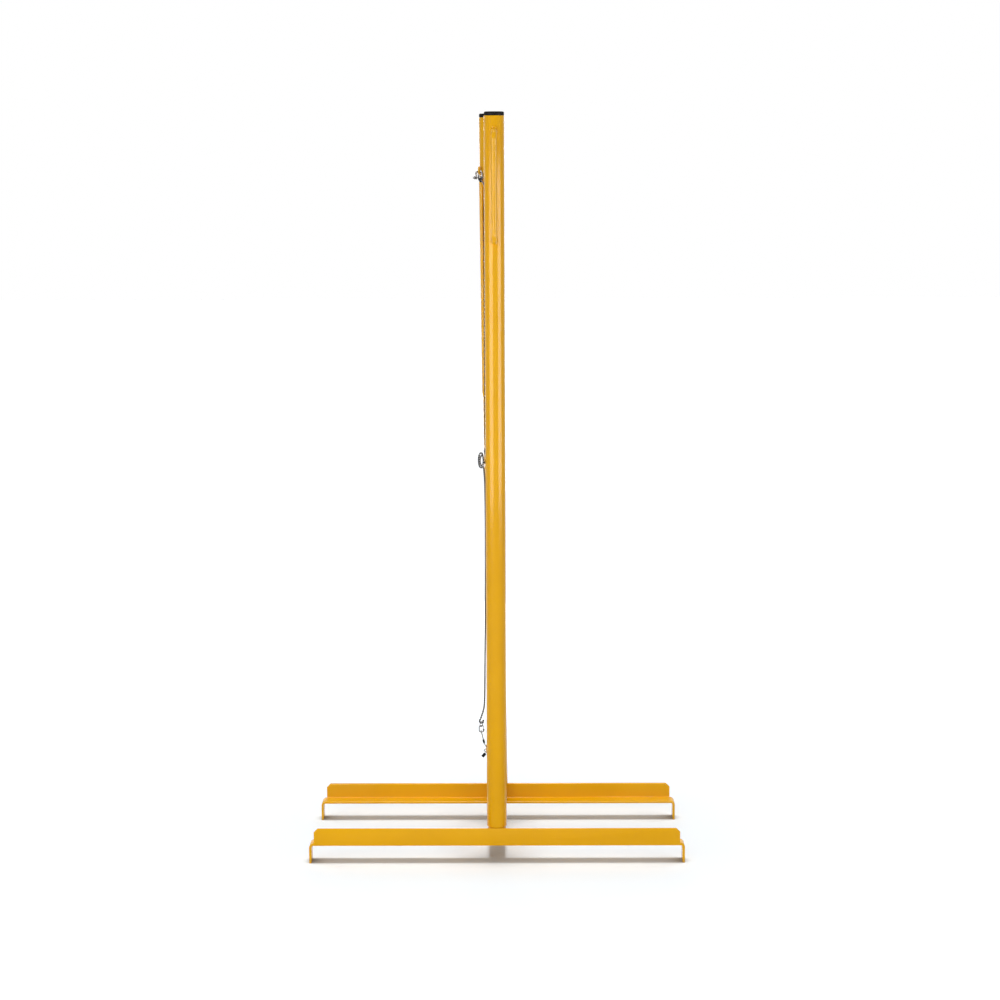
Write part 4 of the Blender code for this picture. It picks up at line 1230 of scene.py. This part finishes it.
def build_spigot(name, y, node):
    bm = bmesh.new()
    r, bore, lead = SPIGOT_RADIUS, SPIGOT_RADIUS - SPIGOT_WALL, mm(3)
    profile = [(bore, SPIGOT_TOP), (r - lead * 0.8, SPIGOT_TOP)]
    profile += [(r - mm(0.4), SPIGOT_TOP - lead * 0.7), (r, SPIGOT_TOP - lead)]
    profile += [(r, TUBE_LOW + mm(3.2)), (r - mm(3.2), TUBE_LOW), (bore, TUBE_LOW)]
    spin_profile(bm, profile, 72, closed=True)
    # The bead runs round the inner half, where the lower flange lies.
    inward = 1 if y < 0 else -1
    steps = [360 * i / BEAD_STEPS for i in range(BEAD_STEPS)]
    circle = [about_post(r + mm(0.3), angle, TUBE_LOW + mm(1.0)) for angle in steps]
    bead = [point for point in circle if point.y * inward > -BEAD_PAST]
    bead.sort(key=lambda point: math.atan2(point.x, point.y * inward))
    sweep(bm, bead, mm(1.7), sides=10, scales=ripples(len(bead)))
    place = Matrix.Translation((0, y, 0))
    finish_piece(name, bm, "base", YELLOW, node, "yellow_paint", place)


build_spigot("front_spigot", FRONT_Y, "spigot_front")
build_spigot("rear_spigot", REAR_Y, "spigot_rear")

# %% [markdown]
# ## Posts
#
# A post is a tube with a small chamfer round its lower rim and an eased top edge. A
# profile spun in 96 steps keeps its outline round even in a close view.

# %% Posts
def build_post(name, place, body, node):
    bm = bmesh.new()
    r, chamfer = POST_RADIUS, mm(1.6)
    profile = [(POST_BORE, POST_TOP), (r - mm(0.6), POST_TOP)]
    profile += [(r - mm(0.18), POST_TOP - mm(0.18)), (r, POST_TOP - mm(0.6))]
    profile += [(r, 1.2), (r, 0.8), (r, 0.4), (r, POST_BOTTOM + chamfer)]
    profile += [(r - mm(0.3), POST_BOTTOM + chamfer * 0.55), (r - chamfer, POST_BOTTOM)]
    profile += [(POST_BORE + mm(0.4), POST_BOTTOM), (POST_BORE, POST_BOTTOM + mm(0.5))]
    spin_profile(bm, profile, 96, closed=True)
    finish_piece(name, bm, body, YELLOW, node, "yellow_paint", place)


build_post("front_tube", FRONT, "front_upright", "post_front")
build_post("rear_tube", REAR, "rear_upright", "post_rear")

# %% [markdown]
# ## Caps
#
# The cap is a push-in plug: ribs that grip the bore, and a thin lid with a rounded rim
# and the small dot that the mould leaves in its middle. All of it is one spun profile.

# %% Caps
def build_cap(name, place, body, node):
    bm = bmesh.new()
    lid, under = POST_RADIUS - mm(0.4), POST_TOP + mm(0.3)
    plug, rib = POST_BORE - mm(1.6), POST_BORE - mm(0.4)
    top, wall, end = TOTAL_HEIGHT, mm(2), under - mm(24)
    profile = [(0.0, top - mm(0.5)), (mm(1.6), top - mm(0.5)), (mm(2.2), top - mm(0.15))]
    profile += [(lid - mm(6), top - mm(0.2)), (lid - mm(5.5), top - mm(0.45))]
    profile += [(lid - mm(5), top - mm(0.2))]
    profile += arc((lid - mm(3), top - mm(3.3)), mm(3), 90, 0, 8)
    profile += [(lid, under + mm(0.3)), (lid - mm(0.3), under), (plug, under)]
    for z in (under - mm(6), under - mm(12), under - mm(18)):
        profile += [(plug, z + mm(1.5)), (rib - mm(0.15), z + mm(0.2))]
        profile += [(rib, z), (plug, z - mm(1.5))]
    profile += [(plug, end), (plug - wall, end)]
    profile += [(plug - wall, under + wall), (0.0, under + wall)]
    spin_profile(bm, profile, 72)
    finish_piece(name, bm, body, CAP_BLACK, node, "cap_plastic", place)


build_cap("front_cap", FRONT, "front_upright", "cap_front")
build_cap("rear_cap", REAR, "rear_upright", "cap_rear")

# %% [markdown]
# ## Handles
#
# A grip is a 12 mm rod bent twice and welded at both ends to the outer face of its
# post. Its line is drawn flat, as reach and height, with an arc at each bend.

# %% Handles
HANDLE_ROD, HANDLE_REACH, HANDLE_BEND = mm(6.15), mm(57.85), mm(19)
HANDLE_TOP, HANDLE_BOTTOM = 1.638, 1.400
ROD_END = mm(19.6)  # inside the post's wall


def build_handle(name, side, place, body, node):
    bm = bmesh.new()
    elbow = HANDLE_REACH - HANDLE_BEND
    flat = [(ROD_END, HANDLE_TOP), (mm(30), HANDLE_TOP)]
    flat += arc((elbow, HANDLE_TOP - HANDLE_BEND), HANDLE_BEND, 90, 0, 16)
    flat += arc((elbow, HANDLE_BOTTOM + HANDLE_BEND), HANDLE_BEND, 0, -90, 16)
    flat += [(mm(30), HANDLE_BOTTOM), (ROD_END, HANDLE_BOTTOM)]
    sweep(bm, [(0.0, side * reach, z) for reach, z in flat], HANDLE_ROD, sides=32)
    outward = Matrix.Rotation(math.radians(90 * side), 4, "Z")
    for z in (HANDLE_TOP, HANDLE_BOTTOM):
        add_saddle_weld(bm, HANDLE_ROD, Matrix.Translation((0, 0, z)) @ outward, mm(1.9))
    finish_piece(name, bm, body, YELLOW, node, "yellow_paint", place)


build_handle("front_grip", -1, FRONT, "front_upright", "handle_front")
build_handle("rear_grip", 1, REAR, "rear_upright", "handle_rear")

# %% [markdown]
# ## Rod on the rear post
#
# Under the eye a slim rod is welded along the rear post. It is ground to a taper at its
# foot, so the sweep gets a size at each point, and short tack welds hold it.

# %% Rod on the rear post
HOOK_ROD, HOOK_LOW, HOOK_HIGH = mm(3.7), 1.015, 1.531
HOOK_ANGLE, TACK_LEAN, TACK_HALF = 220.5, 7.5, mm(7)


def build_hook_rod():
    bm = bmesh.new()
    levels = [(HOOK_LOW, 0.30), (HOOK_LOW + mm(4), 0.55), (HOOK_LOW + mm(8), 0.72)]
    levels += [(HOOK_LOW + mm(14), 0.90), (HOOK_LOW + mm(19), 1.0)]
    levels += [(HOOK_LOW + mm(60) * i, 1.0) for i in range(1, 9)]
    levels += [(HOOK_HIGH - mm(2), 1.0), (HOOK_HIGH - mm(0.8), 0.9), (HOOK_HIGH, 0.6)]
    sizes = [scale for _, scale in levels]
    off = POST_RADIUS + mm(0.4)
    line = [about_post(off + HOOK_ROD * scale, HOOK_ANGLE, z) for z, scale in levels]
    sweep(bm, line, HOOK_ROD, sides=20, scales=sizes)
    up = Vector((0, 0, TACK_HALF))
    for z in (HOOK_LOW + mm(30), 1.19, 1.36, HOOK_HIGH - mm(14)):
        for lean in (-TACK_LEAN, TACK_LEAN):
            seam = about_post(POST_RADIUS + mm(1.1), HOOK_ANGLE + lean, z)
            add_straight_weld(bm, seam - up, seam + up, mm(1.3))
    finish_piece("rear_rod", bm, "rear_upright", YELLOW, "hook_rod", "yellow_paint", REAR)


build_hook_rod()

# %% [markdown]
# ## Eye
#
# The shackle hangs in a welded ring of rod. A torus would do; a closed sweep does the
# same and keeps the rod's own thickness.

# %% Eye
def build_eye():
    bm = bmesh.new()
    circle = arc((0, 0), EYE_RING, 0, 360 * 47 / 48, 47)
    line = [EYE_CENTRE + Vector((0, y, z)) for y, z in circle]
    sweep(bm, line, EYE_ROD, sides=16, closed=True)
    finish_piece("rear_eye", bm, "rear_upright", YELLOW, "eye_ring", "yellow_paint", REAR)


build_eye()

# %% [markdown]
# ## Staples
#
# The net's ropes tie to small staples, each a rod bent twice and welded at both feet.
# They differ only in place and size, so one function reads them from the table above.

# %% Staples
def build_staple(name, node, body):
    post, angle, z, rod, reach, half = STAPLES[node]
    bm = bmesh.new()
    bar, bend = POST_RADIUS + reach, mm(6)
    flat = [(ROD_END, half)]
    flat += arc((bar - bend, half - bend), bend, 90, 0, 10)
    flat += arc((bar - bend, bend - half), bend, 0, -90, 10)
    flat += [(ROD_END, -half)]
    sweep(bm, [about_post(out, angle, z + up) for out, up in flat], rod, sides=20)
    outward = Matrix.Rotation(math.radians(angle), 4, "Z")
    for up in (-half, half):
        add_saddle_weld(bm, rod, Matrix.Translation((0, 0, z + up)) @ outward, mm(1.1))
    finish_piece(name, bm, body, YELLOW, node, "yellow_paint", post)


build_staple("top_staple", "staple_front_top", "front_upright")
build_staple("mid_staple", "staple_front_mid", "front_upright")
build_staple("low_staple", "staple_front_low", "front_upright")
build_staple("rear_staple", "staple_rear_mid", "rear_upright")

# %% [markdown]
# ## Shackle
#
# A shackle is a rod bent into a bow with a flattened, bored boss on each arm. The bow is
# swept along its line of pull, and each boss is a spun ring with its bore left open.

# %% Shackle
def build_shackle():
    bm = bmesh.new()
    half, arm_end = SHACKLE_HALF, SHACKLE_LONG - mm(3.6)
    arm_middle = (SHACKLE_LONG + SHACKLE_HALF) / 2
    flat = [(-half, arm_end), (-half, arm_middle)]
    flat += arc((0, half), half, 180, 360, 24)
    flat += [(half, arm_middle), (half, arm_end)]
    sweep(bm, [crown + pin_axis * u + pull * v for u, v in flat], SHACKLE_ROD, sides=20)
    boss = both_ways([(2.8, 1.85), (3.05, 2.1), (4.5, 2.1), (5, 1.6)])
    for end in (-half, half):
        place = frame_along(pin_centre + pin_axis * end, pin_axis, pull)
        add_turned(bm, boss, place, 40, closed=True)
    finish_piece("shackle", bm, "shackle", ZINC, "shackle_bow", "zinc", REAR)


build_shackle()

# %% [markdown]
# ## Wing pin
#
# The pin through the bosses has a collar and two wings for the fingers. Shank and
# collar are one spun profile. The wings are a flat outline, extruded and eased.

# %% Wing pin
def build_wing_pin():
    bm = bmesh.new()
    shank, face = mm(2.5), SHACKLE_HALF + mm(2.1) + mm(0.3)
    profile = [(0, face + mm(2)), (mm(3.9), face + mm(2)), (mm(4.2), face + mm(1.6))]
    profile += [(mm(4.4), face + mm(0.3)), (mm(4.1), face), (shank, face)]
    tip = -face - mm(1.4)
    profile += [(shank, tip + mm(0.8)), (shank - mm(0.7), tip), (0, tip)]
    spin_profile(bm, profile, 40)
    wings = bmesh.new()
    outline = arc((mm(3.7), mm(2.9)), mm(2.3), -75, 150, 18)
    outline += arc((mm(-3.7), mm(2.9)), mm(2.3), 30, 255, 18)
    extruded(wings, outline, mm(2.2))
    bmesh.ops.recalc_face_normals(wings, faces=wings.faces)
    eased(wings, mm(0.5), 50, 3)
    stand = Matrix.Translation((0, 0, face)) @ Matrix.Rotation(math.radians(90), 4, "X")
    add_part(bm, wings, stand)
    aim = frame_along(Vector(), -pin_axis, pull) @ Matrix.Rotation(math.radians(120), 4, "Z")
    place = REAR @ Matrix.Translation(pin_centre) @ aim
    finish_piece("winged_pin", bm, "shackle_pin", ZINC, "wing_pin", "zinc", place)


build_wing_pin()

# %% [markdown]
# ## Strands
#
# A laid rope shows its strands as a screw of rounded ridges. The outline gets one lobe
# a strand and turns as it is carried along. On the cord, alternate strands are black
# and white; the white ones get the second finish by where a face lies round the cord.

# %% Strands
CORD_STRANDS, WIRE_STRANDS, STRAND_DEPTH = 4, 6, 0.2
BORDER_OFF = CORD + mm(1.4)  # from the net's outer twine to the side cord


def paint_strands(bm, strands, white):
    """Gives the faces of the named strands the second finish."""
    around = bm.verts.layers.float["around"]
    for face in bm.faces:
        turns = [vert[around] for vert in face.verts]
        if max(turns) - min(turns) > 0.5:
            turns = [turn + 1.0 if turn < 0.5 else turn for turn in turns]
        strand = int((sum(turns) / len(turns)) % 1.0 * strands)
        face.material_index = 1 if strand in white else 0


print("a cord has", CORD_STRANDS, "strands and a wire rope", WIRE_STRANDS)

# %% [markdown]
# ## The ropes in place
#
# Each rope is a sweep along its route from above. The lay is how far a strand runs
# while it goes once round.

# %% Ropes
def build_cord(name, line, node, lay, white=()):
    """A laid cord; white names the strands, counted from 0, that are white."""
    bm = bmesh.new()
    sweep(bm, line, CORD, twist=1 / lay, lobes=CORD_STRANDS, depth=STRAND_DEPTH)
    paint_strands(bm, CORD_STRANDS, white)
    finishes = [CORD_BLACK, CORD_WHITE] if white else [CORD_BLACK]
    finish_piece(name, bm, "front_upright", finishes, node, "cord", crease=ROPE_CREASE)


def build_wire_rope(name, line, radius, node, lay):
    bm = bmesh.new()
    sweep(bm, line, radius, sides=24, twist=1 / lay, lobes=WIRE_STRANDS, depth=STRAND_DEPTH)
    finish_piece(name, bm, "front_upright", ROPE_STEEL, node, "wire_rope", crease=ROPE_CREASE)


build_cord("foot_rope", foot_cord_line, "foot_cord", mm(5), white=(3,))
build_wire_rope("head_rope", head_cable_line, CABLE, "head_cable", mm(10))
build_wire_rope("tail_rope", wire_line, WIRE, "tail_wire", mm(7))
for name, node, y in (
    ("front_border", "border_front", MESH_START - BORDER_OFF),
    ("rear_border", "border_rear", MESH_START + MESH_WIDTH + BORDER_OFF),
):
    line = even_steps([net_point(y, MESH_BOTTOM), net_point(y, MESH_TOP)], mm(1.0))
    build_cord(name, line, node, mm(11))

# %% [markdown]
# ## Sleeves
#
# Beside each eye a sleeve holds the rope's two strands. It is an oval tube: an outline
# for the bore and a larger one for the outside, both carried along the strands. The
# outer one is squeezed in three rings, as crimping pliers leave it, and rounded at its
# ends. Two bridges close the ends.

# %% Sleeves
SLEEVE_STEPS, SLEEVE_WALL = 12, mm(1.1)
PINCH, LIP, LIP_SHARE = mm(0.18), mm(0.45), 0.15


def build_sleeve(name, node, eye_at, ahead, side, neck, wire, long=mm(9)):
    """A crimped sleeve over the two strands beside an eye."""
    ahead, side = Vector(ahead).normalized(), Vector(side).normalized()
    bm = bmesh.new()
    half_apart, bore = wire + mm(0.25), wire + mm(0.3)
    for reach, dip in ((bore, 0.0), (bore + SLEEVE_WALL, 1.0)):
        part = bmesh.new()
        loop = arc((half_apart, 0), reach, -90, 90, 12)
        loop += arc((-half_apart, 0), reach, 90, 270, 12)
        ring = drawn(part, [(x, y, 0.0) for x, y in loop])[0]
        places = []
        for i in range(SLEEVE_STEPS + 1):
            t = i / SLEEVE_STEPS
            pinch = PINCH * (1 - math.cos(6 * math.pi * t)) / 2
            lip = LIP * max(0.0, abs(t - 0.5) * 2 - 1 + LIP_SHARE) / LIP_SHARE
            size = 1 - dip * (pinch + lip) / reach
            level = Matrix.Translation((-half_apart, 0, (t - 0.5) * long))
            places.append(level @ Matrix.Diagonal((size, size, 1.0, 1.0)))
        carry_ring(part, places, ring)
        add_part(bm, part)
    close_ends(bm, "z")
    middle = Vector(eye_at) + ahead * (neck + long / 2 + mm(1.5))
    place = axes_frame(middle, side, ahead.cross(side), ahead)
    finish_piece(name, bm, "front_upright", SLEEVE_BLACK, node, "sleeve_plastic", place)


cable, cord, wire = (CABLE_NECK, CABLE), (FOOT_NECK, CORD), (WIRE_NECK, WIRE, mm(8.5))
for name, node, run in (
    ("front_head_sleeve", "ferrule_head_front", (net_start, net_line, front_side, *cable)),
    ("rear_head_sleeve", "ferrule_head_rear", (pin_world, head_ahead, head_side, *cable)),
    ("rear_foot_sleeve", "ferrule_foot_rear", (rear_bar, foot_ahead, foot_side, *cord)),
    ("low_sleeve", "ferrule_low", (wire_eye, wire_ahead, wire_side, *wire)),
):
    build_sleeve(name, node, *run)

# %% [markdown]
# ## Stop
#
# The tail wire ends in a plastic stop, a small barrel with two grooves. It is round, so
# a spun profile gives it in one go.

# %% Stop
def build_stop():
    bm = bmesh.new()
    profile = [(1.3, 5), (2.2, 5), (2.9, 4.8), (3.4, 4.1), (3.4, 2.4), (3.15, 2.0), (3.4, 1.6)]
    spin_profile(bm, both_ways(profile), 40, closed=True)
    held = ("stop_sleeve", "sleeve_plastic", frame_along(STOP_AT, STOP_LINE))
    finish_piece("stop", bm, "front_upright", SLEEVE_BLACK, *held)


build_stop()

# %% [markdown]
# ## Ring and snap link
#
# The cord's lower end carries a small ring and a snap link: a rod bent into a long
# loop, open on one side. The ring is a closed sweep.

# %% Small ring
def build_ring():
    bm = bmesh.new()
    circle = arc((0, 0), RING, 0, 360 * 39 / 40, 39)
    line = [ring_centre + ring_flat * u + Vector((0, 0, w)) for u, w in circle]
    sweep(bm, line, RING_WIRE, sides=12, closed=True)
    finish_piece("little_ring", bm, "front_upright", ZINC, "small_ring", "zinc")


build_ring()

# %% [markdown]
# ## Snap link
#
# The link's rod is thickest at the hinge, where two cheeks hold a pin. The cheeks and
# the pin's headed ends are spun about the hinge's own axis.

# %% Snap link
GATE_LOW, GATE_HIGH = LINK_BOTTOM + mm(4.8), LINK_TOP - mm(3.4)
CHEEK_ASIDE, GATE_ROD = mm(1.55), mm(0.75)
HINGE = frame_along((LINK_X + LINK_HALF, LINK_Y, GATE_LOW), (0, 1, 0))


def build_snap():
    bm = bmesh.new()
    bend = mm(3.6)
    right, left = LINK_X + LINK_HALF, LINK_X - LINK_HALF
    flat = arc((right - bend, LINK_BOTTOM + bend), bend, -10, -90, 10)
    scales = [1.6, 1.55, 1.45, 1.3, 1.15, 1.05]
    flat += arc((left + bend, LINK_BOTTOM + bend), bend, -90, -180, 10)
    flat += arc((left + bend, LINK_TOP - bend), bend, 180, 90, 10)
    flat += arc((right - bend, LINK_TOP - bend), bend, 90, 15, 10)
    scales += [1.0] * (len(flat) - len(scales))
    sweep(bm, [(x, LINK_Y, z) for x, z in flat], LINK_ROD, sides=16, scales=scales)
    cheek = both_ways([(0, 0.45), (1.9, 0.45), (2.2, 0.2)])
    pin = both_ways([(0, 2.3), (0.7, 2.2), (0.7, 2.0), (0.5, 2.0)])
    for aside in (-CHEEK_ASIDE, CHEEK_ASIDE):
        add_turned(bm, cheek, HINGE @ Matrix.Translation((0, 0, aside)), 28)
    add_turned(bm, pin, HINGE, 16)
    finish_piece("snap_loop", bm, "snap_link", ZINC, "snap_body", "zinc")


build_snap()

# %% [markdown]
# ## Gate
#
# The gate is a thin rod with a bored knuckle that turns on the pin. It is a piece of
# its own, because it rides on its own body.

# %% Gate
def build_gate():
    bm = bmesh.new()
    levels = (GATE_LOW + mm(0.95), GATE_HIGH - mm(0.4), GATE_HIGH)
    line = [(LINK_X + LINK_HALF, LINK_Y, z) for z in levels]
    sweep(bm, line, GATE_ROD, sides=16, scales=[1.0, 1.0, 0.7])
    knuckle = both_ways([(0.8, 0.7), (1.0, 0.7), (1.15, 0.55)])
    add_turned(bm, knuckle, HINGE, 28, closed=True)
    finish_piece("gate_rod", bm, "gate", ZINC, "snap_gate", "zinc")


build_gate()

# %% [markdown]
# ## Net
#
# The net is knotted twine, with a knot where two lines cross. The knots stray a hair
# from their even places, so the net doesn't look like a printed grid.

# %% Where the knots lie
TWINE_RADIUS, TWINE_SAG, TWINE_STEPS = mm(0.85), mm(0.5), 6
KNOT, KNOT_TILT, KNOT_FLAT = mm(1.75), 40, (0.62, 1.25, 0.85, 1.0)
STRAY = (mm(0.9), mm(1.6), mm(1.2))


def net_place(column, row):
    """Where a knot lies, in the net's own plane, with a little slack between the knots."""
    y = MESH_START + MESH_WIDTH * column / MESH_COLUMNS
    z = MESH_TOP - mm(1) - (MESH_TOP - MESH_BOTTOM - mm(2)) * row / MESH_ROWS
    stray = noise.noise_vector(Vector((column * 1.7, row * 1.3, 4.0)))
    if row in (0, MESH_ROWS) or column in (0, MESH_COLUMNS):
        return Vector((0, y, z))
    return Vector((0, y, z)) + Vector(STRAY) * stray


print("a knot in the middle strays to", [round(value, 4) for value in net_place(3, 9)])

# %% [markdown]
# ## Twine and knots
#
# Level lines sag between their knots and upright ones are straight. A knot is a small
# flattened ball, tilted one way and the other in turn, as hand-tied knots lie.

# %% Net
def build_net():
    bm = bmesh.new()
    across, down = range(MESH_COLUMNS + 1), range(MESH_ROWS + 1)
    knots = {(c, r): net_place(c, r) for c in across for r in down}
    rows = [[knots[c, r] for c in across] for r in down]
    columns = [[knots[c, r] for r in down] for c in across]
    for points in rows + columns:
        slack = TWINE_SAG if points in rows else 0.0
        line = []
        for first, last in zip(points, points[1:]):
            for i in range(TWINE_STEPS):
                t = i / TWINE_STEPS
                line.append(first.lerp(last, t) - Vector((0, 0, slack * math.sin(math.pi * t))))
        line.append(points[-1])
        part = bmesh.new()
        sweep(part, line, TWINE_RADIUS, sides=8)
        add_part(bm, part)
    for (column, row), point in knots.items():
        part = bmesh.new()
        bmesh.ops.create_icosphere(part, subdivisions=2, radius=KNOT)
        way = 1 if (column + row) % 2 else -1
        tilt = Matrix.Rotation(math.radians(way * KNOT_TILT), 4, "X")
        add_part(bm, part, Matrix.Translation(point) @ tilt @ Matrix.Diagonal(KNOT_FLAT))
    finish_piece("net", bm, "front_upright", TWINE, "net_mesh", "net_twine", NET, FIBRE_CREASE)


build_net()

# %% [markdown]
# ## Tapes
#
# Tape is folded over the rope and sewn to the net's edge. A cloth simulation could hang
# it, but it is pulled tight by its rope, so its outline can be drawn: round the rope,
# then down both sides of the band.

# %% Tape outline and wave
STITCH, STITCH_STEP = mm(3.0), mm(4.2)
TAPE_HALF, HEM, PUCKER, WAVE = mm(1.15), mm(1.5), mm(0.25), mm(1.1)
HEAD_BAND = (HEAD_Z, CABLE + mm(0.5), mm(43), 1)  # height, bore, band, which way it hangs
FOOT_BAND = (FOOT_Z, CORD + mm(0.5), mm(28), -1)


def tape_outline(bore, band, half):
    """The folded band's outline, the rope at the origin and the band below it."""
    hem = bore + HEM
    base = math.degrees(math.asin(half / hem))
    outline = arc((0, 0), hem, -90 + base, 270 - base, 30)
    for side in (-1, 1):
        levels = [i / 10 for i in range(1, 11)]
        points = [(side * half, -hem - (band - hem) * level) for level in levels]
        outline += points if side < 0 else list(reversed(points))
    return outline


def tape_wave(y, low, band):
    """How far the band stands out of the net's plane: nothing at the rope, most at its edge."""
    return noise.noise(Vector((y * 28, low * 18, 2.0))) * WAVE * max(0.0, -low / band)


print("the head tape's outline has", len(tape_outline(*HEAD_BAND[1:3], TAPE_HALF)), "points")

# %% [markdown]
# ## Folded and waved
#
# The outline is carried along the net, and then the band is waved a little, because
# cloth that is pulled along one edge never hangs flat. Each vertex remembers its way
# round the fold, and that gives the weave its map.

# %% Tapes
def build_tape(name, node, z, bore, band, side):
    bm = bmesh.new()
    wrap = bm.verts.layers.float.new("wrap")
    outline = tape_outline(bore, band, TAPE_HALF)
    ring, edges = drawn(bm, [(x, 0.0, side * low) for x, low in outline])
    for before, vert, edge in zip(ring, ring[1:], edges):
        vert[wrap] = before[wrap] + edge.calc_length()
    whole = ring[-1][wrap] + edges[-1].calc_length()
    steps = [TAPE_START + TAPE_LENGTH * i / 64 for i in range(65)]
    first, last = carry_ring(bm, [Matrix.Translation((0, y, z)) for y in steps], ring)
    for end in (first, last):
        bmesh.ops.contextual_create(bm, geom=end)
    weave = bm.loops.layers.uv.new("weave")
    for face in bm.faces:
        at_seam = max(vert[wrap] for vert in face.verts) > whole * 0.9
        for loop in face.loops:
            turn = loop.vert[wrap]
            turn = whole if at_seam and turn == 0.0 else turn
            loop[weave].uv = (loop.vert.co.y - TAPE_START, turn)
    for vert in bm.verts:
        low = side * (vert.co.z - z)
        vert.co.x += tape_wave(vert.co.y, low, band)
        pucker = math.sin(vert.co.y / STITCH_STEP * 2 * math.pi)
        vert.co.z += PUCKER * pucker * max(0.0, -low / band)
    finish_piece(name, bm, "front_upright", TAPE, node, "net_tape", NET, 50)


build_tape("head_band", "head_tape", *HEAD_BAND)
build_tape("foot_band", "foot_tape", *FOOT_BAND)

# %% [markdown]
# ## Stitches
#
# Three rows of stitches show on both sides of a tape. Each stitch is a short thread
# that dips into the cloth at its ends. A texture could draw them, but up close their
# small shadows are what makes them read as sewing.

# %% Stitches
DIP = [(mm(-0.3), 0.0), (mm(0.25), 0.25), (mm(0.25), 0.75), (mm(-0.3), 1.0)]
THREAD_RADIUS = mm(0.28)


def build_stitches(name, z, bore, band, side):
    bm = bmesh.new()
    count = int((TAPE_LENGTH - mm(6)) / STITCH_STEP)
    for down in (bore + mm(3.2), bore + mm(5.2), band - mm(3.5)):
        for out in (-1, 1):
            for i in range(count):
                y = TAPE_START + mm(4) + i * STITCH_STEP
                x = tape_wave(y, -down, band) + out * (TAPE_HALF + mm(0.05))
                line = [(x + out * u, y + STITCH * v, z - side * down) for u, v in DIP]
                part = bmesh.new()
                sweep(part, line, THREAD_RADIUS, sides=6)
                add_part(bm, part)
    held = {"slot": "net_tape", "place": NET, "crease": FIBRE_CREASE}
    finish_piece(name, bm, "front_upright", THREAD, **held)


build_stitches("head_stitches", *HEAD_BAND)
build_stitches("foot_stitches", *FOOT_BAND)

# %% [markdown]
# ## Lashing
#
# Thin twine laces the net to its side cords. One long spiral would be closer to a
# sewing machine's work; the hand-made net has separate small loops, so each loop is a
# closed sweep round the cord and the net's outer twine.

# %% Lashing
LASH_ROD, LASH_SLOPE, LASH_OUT = mm(0.5), mm(1.6), mm(2.5)
LASH_REACH, LASH_MARGIN = BORDER_OFF / 2 + mm(2.4), mm(6)


def build_lashing():
    bm = bmesh.new()
    pitch = MESH_SQUARE / 2
    levels = int((MESH_TOP - MESH_BOTTOM - 2 * LASH_MARGIN) / pitch)
    circle = arc((0, 0), 1.0, 0, 360 * 15 / 16, 15)
    for middle in (MESH_START - BORDER_OFF / 2, MESH_START + MESH_WIDTH + BORDER_OFF / 2):
        for i in range(levels + 1):
            z = MESH_BOTTOM + LASH_MARGIN + i * pitch
            loop = []
            for u, v in circle:
                loop.append((LASH_OUT * v, middle + LASH_REACH * u, z + LASH_SLOPE * u))
            part = bmesh.new()
            sweep(part, loop, LASH_ROD, sides=6, closed=True)
            add_part(bm, part)
    held = {"slot": "net_twine", "place": NET, "crease": FIBRE_CREASE}
    finish_piece("side_lashing", bm, "front_upright", TWINE, **held)


build_lashing()

# %% [markdown]
# ## View settings
#
# The view settings stay plain.

# %% View settings
bpy.context.scene.view_settings.view_transform = "Standard"
